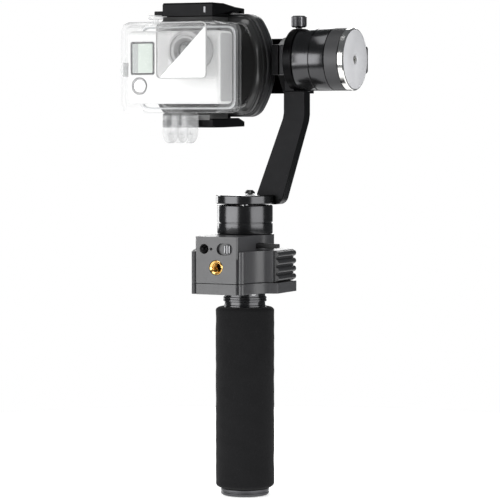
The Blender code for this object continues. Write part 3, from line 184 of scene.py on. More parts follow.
class ShaderGraph(NodeGraph):
    """The node tree of one material."""

    def __init__(self, name: str) -> None:
        """Makes an empty material with a Principled shader."""
        self.material = bpy.data.materials.new(name)
        self.material.use_nodes = True
        self.tree = self.material.node_tree
        self.shader = self.tree.nodes["Principled BSDF"]
        self._object: Signal | None = None

    def mix(self, factor: "Signal | float", low: object, high: object) -> Signal:
        """Mixes two colours."""
        made = self.tree.nodes.new("ShaderNodeMix")
        made.data_type = "RGBA"
        self.feed(made.inputs[0], factor)
        self.feed(made.inputs[6], low)
        self.feed(made.inputs[7], high)
        return Signal(self, made.outputs[2])

    def place(self, offset: Point = (0, 0, 0), scale: Point = (1, 1, 1)) -> Signal:
        """Object coordinates, moved and scaled."""
        if self._object is None:
            self._object = Signal(self, self.node("ShaderNodeTexCoord").outputs["Object"])
        if offset == (0, 0, 0) and scale == (1, 1, 1):
            return self._object
        moved = self.node("ShaderNodeMapping", {"vector_type": "POINT"}, Vector=self._object,
                          Location=tuple(-o * s for o, s in zip(offset, scale)), Scale=scale)
        return Signal(self, moved.outputs[0])

    def split(self, vector: Signal) -> tuple[Signal, Signal, Signal]:
        """The three parts of a vector."""
        made = self.node("ShaderNodeSeparateXYZ", Vector=vector)
        return tuple(Signal(self, out) for out in made.outputs)

    def noise(self, size: float, detail: float = 2.0, stretch: Point = (1, 1, 1)) -> Signal:
        """Smooth noise with features of about that size in metres."""
        made = self.node("ShaderNodeTexNoise", Vector=self.place(scale=stretch), Scale=1.0 / size,
                         Detail=detail)
        return Signal(self, made.outputs[0])

    def cells(self, size: float) -> Signal:
        """Distance to cells of about that size in metres."""
        made = self.node("ShaderNodeTexVoronoi", Vector=self.place(), Scale=1.0 / size)
        return Signal(self, made.outputs[0])

    def bump(self, height: Signal, distance: float, strength: float = 1.0) -> None:
        """Feeds a height to the shader's normal."""
        made = self.node("ShaderNodeBump", Height=height, Distance=distance, Strength=strength)
        self.tree.links.new(made.outputs[0], self.shader.inputs["Normal"])

    def surface(self, **values: object) -> None:
        """Sets or links the Principled shader's sockets by name."""
        for key, value in values.items():
            self.feed(self.shader.inputs[key.replace("_", " ")], value)


# Finishes -----------------------------------------------------------------


@dataclass(frozen=True)
class Finish:
    """What every finish has: a name, a colour and a roughness."""

    name: str
    colour: Colour
    roughness: float

    def build(self) -> bpy.types.Material:
        """The finish's material, made once."""
        found = bpy.data.materials.get(self.name)
        if found:
            return found
        graph = ShaderGraph(self.name)
        self.dress(graph)
        return graph.material

    def dress(self, graph: ShaderGraph) -> None:
        """Adds the nodes. Each finish has its own."""
        raise NotImplementedError


@dataclass(frozen=True)
class Machined(Finish):
    """Anodised or bare metal with tool marks."""

    metallic: float = 0.9
    flow: Flow = Flow.BLASTED
    axis: Axis = Axis.Z
    centre: Point = (0, 0, 0)
    pitch: float = 0.00022
    depth: float = 0.000004

    def marks(self, graph: ShaderGraph) -> Signal:
        """Height of the tool marks."""
        if self.flow is Flow.BLASTED:
            return graph.noise(0.00018, 3.0)
        if self.flow is Flow.BRUSHED:
            along = {Axis.X: (0.05, 1, 1), Axis.Y: (1, 0.05, 1), Axis.Z: (1, 1, 0.05)}[self.axis]
            return graph.noise(0.0002, 3.0, along)
        parts = list(graph.split(graph.place(self.centre)))
        along = parts.pop("XYZ".index(self.axis.value))
        radius = (parts[0] * parts[0] + parts[1] * parts[1]) ** 0.5
        return ((radius + along) * (math.tau / self.pitch)).sine() * 0.5 + 0.5

    def dress(self, graph: ShaderGraph) -> None:
        """Colour clouds, handling marks and tool marks."""
        clouds = graph.noise(0.014, 3.0)
        smudge = graph.noise(0.0045, 4.0)
        marks = self.marks(graph)
        darker = tuple(c * 0.82 for c in self.colour)
        lighter = tuple(min(1.0, c * 1.16) for c in self.colour)
        graph.surface(Base_Color=graph.mix(clouds, darker, lighter), Metallic=self.metallic,
                      Roughness=(smudge * 0.10 + marks * 0.04 + (self.roughness - 0.07)).clamped())
        graph.bump(marks, self.depth, 0.7)


@dataclass(frozen=True)
class Moulded(Finish):
    """Injection-moulded plastic with a fine spark-eroded grain."""

    grain: float = 0.00032
    depth: float = 0.00001
    coat: float = 0.0

    def dress(self, graph: ShaderGraph) -> None:
        """Grain, faint flow clouds and rubbed shine."""
        grain = graph.noise(self.grain, 3.0)
        clouds = graph.noise(0.018, 2.0)
        rubbed = graph.noise(0.006, 4.0)
        base = graph.mix(clouds, tuple(c * 0.88 for c in self.colour),
                         tuple(min(1.0, c * 1.10) for c in self.colour))
        graph.surface(Base_Color=graph.mix(grain * 0.25, base, tuple(min(1.0, c * 1.5) for c in self.colour)),
                      Roughness=(rubbed * 0.12 + grain * 0.06 + (self.roughness - 0.09)).clamped(),
                      Coat_Weight=self.coat, Coat_Roughness=0.12)
        graph.bump(grain, self.depth, 0.8)


@dataclass(frozen=True)
class Floor(Finish):
    """Pale card under the part, with a little light of its own."""

    glow: float = 0.60

    def dress(self, graph: ShaderGraph) -> None:
        """Faint clouds and a fine tooth."""
        clouds = graph.noise(0.2, 2.0)
        graph.surface(Base_Color=graph.mix(clouds, tuple(c * 0.98 for c in self.colour), self.colour),
                      Roughness=(clouds * 0.05 + self.roughness).clamped(),
                      Emission_Color=(1.0, 1.0, 1.0), Emission_Strength=self.glow)


@dataclass(frozen=True)
class Foam(Finish):
    """Closed-cell foam: fine pores, faint lint and a dry sheen."""

    def dress(self, graph: ShaderGraph) -> None:
        """Pores as cells, with lint and soft clouds."""
        pores = graph.cells(0.0007)
        fine = graph.noise(0.00035, 3.0)
        clouds = graph.noise(0.012, 3.0)
        lint = (graph.noise(0.0006, 1.0, (1, 1, 0.3)) > 0.70) * 0.5
        base = graph.mix(clouds, tuple(c * 0.8 for c in self.colour), tuple(c * 1.25 for c in self.colour))
        graph.surface(Base_Color=graph.mix(lint, base, tuple(c * 2.2 for c in self.colour)),
                      Roughness=(fine * 0.10 + (self.roughness - 0.05)).clamped(),
                      Specular_IOR_Level=0.15, Sheen_Weight=0.03, Sheen_Roughness=0.5)
        graph.bump(pores * 0.6 + fine * 0.4, 0.00022, 0.7)


@dataclass(frozen=True)
class Clear(Finish):
    """Clear moulded plastic, greyer and more opaque at its edges: painted shade."""

    alpha: float = 0.3
    milky: float = 0.12
    thick_below: float = 0.2165
    thick: float = 0.20

    def dress(self, graph: ShaderGraph) -> None:
        """Faint moulding waves, a weak haze, plastic that is greyer and denser below a set height, and
        painted shade at the edges.
        """
        waves = graph.noise(0.010, 2.0)
        haze = graph.noise(0.004, 4.0)
        # Painted shade: greyer and more opaque where the surface turns away from view.
        rim = Signal(graph, graph.node("ShaderNodeLayerWeight", Blend=0.35).outputs["Facing"])
        # Greyer and denser below a set height, where the case's prongs are.
        deep = graph.split(graph.place())[2] < self.thick_below
        body = graph.mix(haze, tuple(c * 0.96 for c in self.colour), self.colour)
        body = graph.mix(deep * 0.5, body, tuple(c * 0.55 for c in self.colour))
        graph.surface(Base_Color=graph.mix((rim * rim).clamped(), body, tuple(c * 0.45 for c in self.colour)),
                      Roughness=(haze * 0.06 + self.roughness).clamped(),
                      Alpha=(rim * rim * 0.55 + haze * self.milky + deep * self.thick + self.alpha).clamped())
        graph.bump(waves, 0.00003, 0.4)


@dataclass(frozen=True)
class ReflectionWindow(Finish):
    """The port's flat window with a painted reflection: a bright half below a straight diagonal, a grey half
    above.
    """

    centre: Point = (0, 0, 0)
    shade: Colour = (0.26, 0.26, 0.26)

    def dress(self, graph: ShaderGraph) -> None:
        """A painted reflection: bright and grey halves that meet on the window's diagonal."""
        across, _depth, up = graph.split(graph.place(self.centre))
        wisps = graph.noise(0.004, 3.0)
        # Painted reflection: bright below the diagonal, grey and more see-through above it.
        bright = (((across - up) * 9000.0) + 0.5).clamped()
        graph.surface(Base_Color=graph.mix(bright, self.shade, self.colour),
                      Roughness=(wisps * 0.05 + self.roughness).clamped(),
                      Alpha=(bright * 0.36 + wisps * 0.04 + 0.20).clamped())
        graph.bump(wisps, 0.00001, 0.3)


@dataclass(frozen=True)
class Screen(Finish):
    """A small status screen: dark edge, pale glass with faint segments."""

    centre: Point = (0, 0, 0)

    def dress(self, graph: ShaderGraph) -> None:
        """A grey margin on the left and a pale greenish field."""
        across, _depth, up = graph.split(graph.place(self.centre))
        margin = (across < -0.0028) * 1.0
        lines = ((up * (math.tau / 0.0009)).sine() > 0.93) * 0.10
        field_colour = graph.mix(graph.noise(0.006, 2.0), tuple(c * 0.85 for c in self.colour), self.colour)
        graph.surface(Base_Color=graph.mix(margin * 0.8 + lines, field_colour, (0.28, 0.29, 0.29)),
                      Roughness=(graph.noise(0.003, 2.0) * 0.08 + self.roughness).clamped())


@dataclass(frozen=True)
class ShadedSideShell(Finish):
    """Moulded shell whose right-hand end is another colour, a painted shade on that side."""

    edge: Point = (0, 0, 0)
    side_shade: Colour = (0.36, 0.36, 0.36)

    def dress(self, graph: ShaderGraph) -> None:
        """Two colours that meet at a straight edge, under one fine grain; the darker one is painted shade."""
        across = graph.split(graph.place(self.edge))[0]
        grain = graph.noise(0.0003, 3.0)
        clouds = graph.noise(0.016, 2.0)
        # Painted shade: the right-hand side face is grey, the rest white.
        end = ((across * 20000.0) + 0.5).clamped()
        base = graph.mix(clouds, tuple(c * 0.95 for c in self.colour), self.colour)
        graph.surface(Base_Color=graph.mix(end, base, self.side_shade),
                      Roughness=(grain * 0.10 + clouds * 0.08 + (self.roughness - 0.09)).clamped())
        graph.bump(grain, 0.000006, 0.7)


@dataclass(frozen=True)
class Winding(Finish):
    """Enamelled copper wire in bundles."""

    centre: Point = (0, 0, 0)

    def dress(self, graph: ShaderGraph) -> None:
        """Fine wire ridges with varnish over them."""
        x, y, z = graph.split(graph.place(self.centre))
        wires = ((x + y + z) * (math.tau / 0.0005)).sine() * 0.5 + 0.5
        clouds = graph.noise(0.003, 3.0)
        graph.surface(Base_Color=graph.mix(clouds, tuple(c * 0.6 for c in self.colour), self.colour),
                      Metallic=0.9, Roughness=(wires * 0.15 + self.roughness).clamped())
        graph.bump(wires, 0.00008, 0.8)


BLACK = Machined("satin_black_anodise", (0.058, 0.058, 0.060), 0.20, 0.92)
DEEP_BLACK = Machined("deep_black_anodise", (0.0045, 0.0045, 0.0048), 0.34, 0.95)
BLACK_MATTE = Machined("matte_black_anodise", (0.040, 0.040, 0.042), 0.44, 0.85)
HOUSING = Moulded("box_plastic", (0.040, 0.040, 0.042), 0.36)
HOLDER = Moulded("holder_plastic", (0.018, 0.018, 0.019), 0.36, coat=0.15)
GLOSS = Moulded("gloss_black", (0.010, 0.010, 0.011), 0.24, depth=0.000003, coat=0.1)
RUBBER = Moulded("black_rubber", (0.014, 0.014, 0.014), 0.72, grain=0.0005, depth=0.00003)
GRIP_RUBBER = Moulded("rib_plastic", (0.018, 0.018, 0.019), 0.36)
SPONGE = Foam("grip_foam", (0.0065, 0.0065, 0.007), 0.97)
TAIL = Machined("tail_cap_grey", (0.075, 0.075, 0.080), 0.42, 0.85, Flow.TURNED)
STEEL = Machined("ground_steel", (0.62, 0.62, 0.63), 0.26, 1.0)
BRASS = Machined("machined_brass", (0.86, 0.58, 0.20), 0.22, 1.0)
BOARD = Moulded("solder_mask", (0.02, 0.13, 0.05), 0.45)
WRAP = Moulded("cell_wrap", (0.10, 0.27, 0.50), 0.35, depth=0.000004)
CASE_CLEAR = Clear("case_clear", (0.93, 0.935, 0.94), 0.04, 0.015, 0.02)
PRONG_CLEAR = Clear("button_clear", (0.80, 0.80, 0.80), 0.10, 0.30, 0.10)
SHELL_WHITE = Moulded("camera_shell", (0.70, 0.70, 0.695), 0.42)
# Painted shade for the camera's right-hand side.
CAMERA_SIDE_SHADE = Moulded("camera_side_shade_grey", (0.36, 0.36, 0.36), 0.5)
CAMERA_RING = Machined("lens_ring_grey", (0.34, 0.34, 0.34), 0.35, 0.3)
SILVER_TRIM = Machined("silver_trim", (0.62, 0.62, 0.62), 0.3, 0.7)
# Painted highlight on the lower jaw's front lip.
JAW_HIGHLIGHT = Machined("jaw_strip_grey", (0.10, 0.10, 0.10), 0.5, 0.4)
LATCH_CLEAR = Clear("latch_clear", (0.86, 0.87, 0.87), 0.12, 0.35, 0.15)
PORT_RIM = Moulded("port_rim_grey", (0.36, 0.36, 0.36), 0.3)
# Painted highlight: the knurl's teeth are lighter than the black knob.
KNURL_GLINT = Machined("knurl_glint_grey", (0.20, 0.20, 0.21), 0.3, 0.9)
# Used for the slider's ridges and for a painted highlight on the top jaw.
RIDGE_AND_GLINT_GREY = Moulded("ridge_and_glint_grey", (0.30, 0.30, 0.31), 0.35)
SEAL = Moulded("seal_pale", (0.62, 0.63, 0.64), 0.6)
FLOOR_WHITE = Floor("floor_white", (0.94, 0.94, 0.94), 0.7)
TRIM_DARK = Moulded("trim_dark", (0.06, 0.06, 0.062), 0.35, depth=0.000002)
BUTTON_RING = Moulded("button_ring", (0.26, 0.26, 0.26), 0.25, depth=0.000002, coat=0.3)
LENS_DARK = Moulded("lens_dark", (0.010, 0.011, 0.014), 0.14, depth=0.000001, coat=0.6)


# Mesh work ----------------------------------------------------------------


class Workshop:
    """Shared ways to make and finish meshes."""

    @staticmethod
    def object_from(shape: bmesh.types.BMesh, name: str, sharp: float = 32) -> bpy.types.Object:
        """Turns a bmesh into a smooth-shaded object at the origin.

        Args:
            shape: The bmesh, which is freed.
            name: The new object's name.
            sharp: Edges above this angle, in degrees, stay sharp.

        Returns:
            The new object.
        """
        bmesh.ops.remove_doubles(shape, verts=shape.verts, dist=1e-7)
        bmesh.ops.recalc_face_normals(shape, faces=shape.faces)
        mesh = bpy.data.meshes.new(name)
        shape.to_mesh(mesh)
        shape.free()
        mesh.shade_smooth()
        mesh.set_sharp_from_angle(angle=math.radians(sharp))
        made = bpy.data.objects.new(name, mesh)
        bpy.context.scene.collection.objects.link(made)
        return made

    @classmethod
    def turned(cls, name: str, profile: Profile, axis: Axis, centre: Point, steps: int = 96,
               closed: bool = False, sharp: float = 32) -> bpy.types.Object:
        """A round piece from its (radius, place along the axis) profile.

        Args:
            name: The new object's name.
            profile: Points of the profile; an open one starts and ends on the axis.
            axis: The axis it turns about.
            centre: A point on the axis, from which places along it are measured.
            steps: Facets round the axis.
            closed: Whether the profile is a loop that leaves a hole.
            sharp: Edges above this angle stay sharp.

        Returns:
            The new object.
        """
        shape = bmesh.new()
        verts = [shape.verts.new((r, 0, z)) for r, z in profile]
        pairs = list(zip(verts, verts[1:]))
        if closed:
            pairs.append((verts[-1], verts[0]))
        edges = [shape.edges.new(pair) for pair in pairs]
        bmesh.ops.spin(shape, geom=verts + edges, cent=(0, 0, 0), axis=(0, 0, 1), angle=math.tau,
                       steps=steps, use_merge=True)
        bmesh.ops.transform(shape, matrix=Matrix.Translation(centre) @ axis.matrix(), verts=shape.verts)
        return cls.object_from(shape, name, sharp)

    @classmethod
    def prism(cls, name: str, outline: Profile, start: float, end: float, axis: Axis,
              ease: float = 0.0, segments: int = 3) -> bpy.types.Object:
        """A flat outline given depth along an axis, with its rims rounded.

        Args:
            name: The new object's name.
            outline: (X, Y) for Z, (Y, Z) for X and (X, Z) for Y.
            start: Where the depth starts.
            end: Where it ends.
            axis: The axis of the depth.
            ease: Radius of the rounded rims.
            segments: Facets across each rounded rim.

        Returns:
            The new object.
        """
        shape = bmesh.new()
        build = {Axis.X: lambda a, b: (start, a, b), Axis.Y: lambda a, b: (a, start, b),
                 Axis.Z: lambda a, b: (a, b, start)}[axis]
        face = shape.faces.new([shape.verts.new(build(a, b)) for a, b in outline])
        step = Vector([end - start if axis.value == n else 0 for n in "XYZ"])
        grown = bmesh.ops.extrude_face_region(shape, geom=[face])
        far = [v for v in grown["geom"] if isinstance(v, bmesh.types.BMVert)]
        bmesh.ops.translate(shape, vec=step, verts=far)
        bmesh.ops.recalc_face_normals(shape, faces=shape.faces)
        if ease:
            rims = [e for e in shape.edges if e.calc_face_angle(0) > math.radians(50)]
            bmesh.ops.bevel(shape, geom=rims, offset=ease, segments=segments, profile=0.6, affect="EDGES",
                            clamp_overlap=True)
        return cls.object_from(shape, name)

    @classmethod
    def framed(cls, name: str, size: tuple[float, float], centre: tuple[float, float], wall: float,
               rounds: tuple[float, float], depth: tuple[float, float], past: float,
               ease: float = 0.0) -> bpy.types.Object:
        """A rounded upright frame, with its depth along Y.

        Args:
            name: The new object's name.
            size: Outer width and height.
            centre: Its centre in X and Z.
            wall: Twice the frame's wall.
            rounds: Corner radii outside and inside.
            depth: Where it starts and ends in Y.
            past: How far the cut runs past both faces.
            ease: Radius of the rounded rims.

        Returns:
            The new object.
        """
        outside = fillet(box_corners(size[0], size[1], centre), rounds[0])
        inside = fillet(box_corners(size[0] - wall, size[1] - wall, centre), rounds[1])
        frame = cls.prism(name, outside, depth[0], depth[1], Axis.Y, ease)
        hole = cls.prism("hole", inside, depth[0] - past, depth[1] + past, Axis.Y)
        return cls.carve(frame, hole)

    @staticmethod
    def carve(target: bpy.types.Object, tool: bpy.types.Object) -> bpy.types.Object:
        """Cuts a tool out of a target, then removes the tool."""
        made = target.modifiers.new("carve", "BOOLEAN")
        made.operation = "DIFFERENCE"
        made.object = tool
        made.solver = "EXACT"
        Workshop.settle(target)
        bpy.data.objects.remove(tool)
        return target

    @staticmethod
    def settle(target: bpy.types.Object) -> bpy.types.Object:
        """Turns a piece's modifiers into its mesh."""
        bpy.context.view_layer.update()
        graph = bpy.context.evaluated_depsgraph_get()
        mesh = bpy.data.meshes.new_from_object(target.evaluated_get(graph))
        target.modifiers.clear()
        target.data = mesh
        return target

    @staticmethod
    def paint(target: bpy.types.Object, *finishes: Finish) -> bpy.types.Object:
        """Gives a piece or node its finish or finishes."""
        target.data.materials.clear()
        for one in finishes:
            target.data.materials.append(one.build())
        return target

    @staticmethod
    def smoothing() -> bpy.types.NodeTree:
        """A tree that shades a mesh smooth and leaves its sharp edges sharp."""
        found = bpy.data.node_groups.get("smooth_by_angle")
        if found:
            return found
        tree = bpy.data.node_groups.new("smooth_by_angle", "GeometryNodeTree")
        tree.interface.new_socket("Geometry", in_out="INPUT", socket_type="NodeSocketGeometry")
        tree.interface.new_socket("Geometry", in_out="OUTPUT", socket_type="NodeSocketGeometry")
        start, end = tree.nodes.new("NodeGroupInput"), tree.nodes.new("NodeGroupOutput")
        faces, edges = (tree.nodes.new("GeometryNodeSetShadeSmooth") for _ in range(2))
        faces.domain, edges.domain = "FACE", "EDGE"
        edges.inputs["Shade Smooth"].default_value = False
        angle = tree.nodes.new("GeometryNodeInputMeshEdgeAngle")
        sharp = tree.nodes.new("FunctionNodeCompare")
        sharp.operation = "GREATER_THAN"
        sharp.inputs[1].default_value = math.radians(SHARP_ANGLE)
        tree.links.new(angle.outputs[0], sharp.inputs[0])
        tree.links.new(start.outputs[0], faces.inputs[0])
        tree.links.new(faces.outputs[0], edges.inputs[0])
        tree.links.new(sharp.outputs[0], edges.inputs["Selection"])
        tree.links.new(edges.outputs[0], end.inputs[0])
        return tree

    @classmethod
    def soften(cls, node: bpy.types.Object, width: float) -> bpy.types.Object:
        """Shades a CAD node smooth and rounds its edges by live modifiers. Its own mesh stays as it was."""
        weld = node.modifiers.new("weld", "WELD")
        weld.merge_threshold = WELD_DISTANCE
        node.modifiers.new("smooth", "NODES").node_group = cls.smoothing()
        if not width:
            return node
        ease = node.modifiers.new("ease", "BEVEL")
        ease.width = width
        ease.segments = EASE_SEGMENTS
        ease.limit_method = "ANGLE"
        ease.angle_limit = math.radians(EASE_ANGLE)
        ease.harden_normals = True
        return node


def fillet(points: Profile, radius: float, steps: int = 4) -> Profile:
    """Rounds every corner of a closed outline.

    Args:
        points: The outline's corners.
        radius: Radius of each round.
        steps: Facets on each round.

    Returns:
        The rounded outline.
    """
    made: Profile = []
    count = len(points)
    for i, here in enumerate(points):
        corner = Vector(here)
        before = Vector(points[i - 1]) - corner
        after = Vector(points[(i + 1) % count]) - corner
        reach = min(radius, before.length * 0.45, after.length * 0.45)
        start, end = corner + before.normalized() * reach, corner + after.normalized() * reach
        for k in range(steps + 1):
            t = k / steps
            spot = (1 - t) ** 2 * start + 2 * t * (1 - t) * corner + t * t * end
            made.append((spot.x, spot.y))
    return made


def box_corners(width: float, height: float, centre: tuple[float, float] = (0.0, 0.0)) -> Profile:
    """Corners of an upright rectangle, counter-clockwise."""
    x, y = centre
    return [(x + width / 2, y + height / 2), (x - width / 2, y + height / 2),
            (x - width / 2, y - height / 2), (x + width / 2, y - height / 2)]


def circle(radius: float, centre: tuple[float, float], count: int = 32) -> Profile:
    """Points of a circle, counter-clockwise."""
    return [(centre[0] + radius * math.cos(math.tau * i / count),
             centre[1] + radius * math.sin(math.tau * i / count)) for i in range(count)]


# Geometry Nodes -----------------------------------------------------------


class GeometryGraph(NodeGraph):
    """A Geometry Nodes tree with named inputs that is turned into a plain mesh."""

    def __init__(self, name: str, numbers: dict[str, float], counts: dict[str, int]) -> None:
        """Makes the tree's inputs: sizes in metres, whole numbers, and a material."""
        self.tree = bpy.data.node_groups.new(name, "GeometryNodeTree")
        face = self.tree.interface
        face.new_socket("Geometry", in_out="OUTPUT", socket_type="NodeSocketGeometry")
        self.keys: dict[str, str] = {}
        for label, value in numbers.items():
            self._add_input(label, "NodeSocketFloat", value)
        for label, value in counts.items():
            self._add_input(label, "NodeSocketInt", value)
        self._add_input("Material", "NodeSocketMaterial", None)
        self.start = self.tree.nodes.new("NodeGroupInput")
        self.end = self.tree.nodes.new("NodeGroupOutput")

    def _add_input(self, label: str, kind: str, value: float | None) -> None:
        """Adds one named input with its default."""
        socket = self.tree.interface.new_socket(label, in_out="INPUT", socket_type=kind)
        if value is not None:
            socket.default_value = value
        self.keys[label] = socket.identifier

    def given(self, label: str) -> bpy.types.NodeSocket:
        """The socket that carries a named input."""
        return self.start.outputs[label]

    def close(self, geometry: bpy.types.NodeSocket) -> None:
        """Ends the tree in Realize Instances and Set Material."""
        real = self.node("GeometryNodeRealizeInstances", Geometry=geometry)
        dressed = self.node("GeometryNodeSetMaterial", Geometry=real.outputs[0],
                            Material=self.given("Material"))
        self.tree.links.new(dressed.outputs[0], self.end.inputs[0])

    def make(self, name: str, finish: Finish, place: Matrix, **values: float) -> bpy.types.Object:
        """Runs the tree once and returns its plain mesh, with its place in the mesh.

        Args:
            name: The new object's name.
            finish: What the mesh is dressed in.
            place: Where the tree's own origin goes.
            values: The tree's inputs by name, with _ for a space.

        Returns:
            The new object, at the origin.
        """
        made = bpy.data.objects.new(name, bpy.data.meshes.new(name))
        bpy.context.scene.collection.objects.link(made)
        modifier = made.modifiers.new("tree", "NODES")
        modifier.node_group = self.tree
        modifier[self.keys["Material"]] = finish.build()
        for key, value in values.items():
            modifier[self.keys[key.replace("_", " ")]] = value
        Workshop.settle(made)
        made.data.transform(place)
        Workshop.paint(made, finish)
        return made


class Knurl(GeometryGraph):
    """Small four-sided teeth in staggered rows round a knob."""

    def __init__(self) -> None:
        """Builds the tree: rows of points, teeth turned outwards."""
        super().__init__("knurl", {"Radius": 0.0044, "Height": 0.006, "Tooth": 0.0004},
                         {"Columns": 28, "Rows": 9})
        barrel = self.node("GeometryNodeMeshCylinder", {"fill_type": "NONE"}, Vertices=self.given("Columns"),
                           Side_Segments=self.given("Rows"), Radius=self.given("Radius"),
                           Depth=self.given("Height"))
        tooth = self.node("GeometryNodeMeshCone", {"fill_type": "NGON"}, Vertices=4, Radius_Top=0.0,
                          Radius_Bottom=self.given("Tooth"),
                          Depth=self.maths("MULTIPLY", self.given("Tooth"), 0.8))
        facing = self.node("FunctionNodeAlignRotationToVector", {"axis": "Z"},
                           Vector=self.node("GeometryNodeInputNormal").outputs[0])
        teeth = self.node("GeometryNodeInstanceOnPoints", Points=barrel.outputs["Mesh"],
                          Instance=tooth.outputs["Mesh"], Rotation=facing.outputs[0])
        self.close(teeth.outputs[0])


class Thread(GeometryGraph):
    """The crest of a screw thread, as a coil inside a bore."""

    def __init__(self) -> None:
        """Builds the tree: a helix swept with a three-sided crest."""
        super().__init__("thread", {"Radius": 0.003, "Length": 0.007, "Crest": 0.0004, "Turns": 6.0},
                         {"Points a Turn": 32})
        steps = self.node("FunctionNodeFloatToInt", Float=self.maths(
            "MULTIPLY", self.given("Turns"), self.given("Points a Turn")))
        helix = self.node("GeometryNodeCurveSpiral", Resolution=self.given("Points a Turn"),
                          Rotations=self.given("Turns"), Start_Radius=self.given("Radius"),
                          End_Radius=self.given("Radius"), Height=self.given("Length"))
        even = self.node("GeometryNodeResampleCurve", Curve=helix.outputs[0], Count=steps.outputs[0])
        crest = self.node("GeometryNodeCurvePrimitiveCircle", Resolution=3, Radius=self.given("Crest"))
        swept = self.node("GeometryNodeCurveToMesh", Curve=even.outputs[0], Profile_Curve=crest.outputs[0],
                          Fill_Caps=True)
        self.close(swept.outputs[0])


class ScrewRow(GeometryGraph):
    """Domed socket screws on the corners of a rectangle."""

    def __init__(self) -> None:
        """Builds the tree: four corner points, a stepped head and a socket on each."""
        super().__init__("screw_row", {"Width": 0.05, "Height": 0.04, "Head": 0.0014, "Rise": 0.0005}, {})
        corners = self.node("GeometryNodeMeshGrid", Size_X=self.given("Width"), Size_Y=self.given("Height"),
                            Vertices_X=2, Vertices_Y=2)
        head = self.node("GeometryNodeMeshCone", {"fill_type": "NGON"}, Vertices=28, Side_Segments=2,
                         Radius_Top=self.maths("MULTIPLY", self.given("Head"), 0.8),
                         Radius_Bottom=self.given("Head"), Depth=self.given("Rise"))
        rim = self.node("GeometryNodeMeshCone", {"fill_type": "NGON"}, Vertices=6,
                        Radius_Top=self.maths("MULTIPLY", self.given("Head"), 0.40),
                        Radius_Bottom=self.maths("MULTIPLY", self.given("Head"), 0.52),
                        Depth=self.maths("MULTIPLY", self.given("Rise"), 0.35))
        lifted = self.node("ShaderNodeCombineXYZ", Z=self.given("Rise"))
        raised = self.node("GeometryNodeTransform", Geometry=rim.outputs["Mesh"],
                           Translation=lifted.outputs[0])
        both = self.node("GeometryNodeJoinGeometry")
        self.tree.links.new(head.outputs["Mesh"], both.inputs[0])
        self.tree.links.new(raised.outputs[0], both.inputs[0])
        placed = self.node("GeometryNodeInstanceOnPoints", Points=corners.outputs["Mesh"],
                           Instance=both.outputs[0])
        self.close(placed.outputs[0])


# Sub-assemblies -----------------------------------------------------------


@dataclass
class SubAssembly:
    """A group of pieces that one class builds and dresses."""

    nodes: dict[str, bpy.types.Object]
    body: str = "handle"
    made: list[str] = field(default_factory=list)

    def keep(self, piece: bpy.types.Object, slot: str, finish: Finish | None, *stands_for: str,
             body: str | None = None) -> bpy.types.Object:
        """Dresses a new piece and ties it to its body.

        Args:
            piece: The piece, with its place in its mesh.
            slot: The record's material slot; not used.
            finish: Its finish, or None where it already has one.
            stands_for: CAD nodes that it replaces.
            body: The body it rides, where it isn't this sub-assembly's own.

        Returns:
            The piece.
        """
        if finish:
            Workshop.paint(piece, finish)
        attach(piece, body or self.body)
        if stands_for:
            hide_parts(*stands_for)
        self.made.append(piece.name)
        log.info("%s: %s, %d faces", type(self).__name__, piece.name, len(piece.data.polygons))
        return piece

    def dress(self, finish: Finish, *names: str, ease: float = 0.0) -> None:
        """Gives CAD nodes a finish, and rounded edges where ease is a width."""
        for name in names:
            node = self.nodes[name]
            Workshop.paint(node, finish)
            Workshop.soften(node, ease)

    def middle(self, name: str) -> Vector:
        """Centre of a CAD node's box."""
        low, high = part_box(name)
        return (low + high) / 2


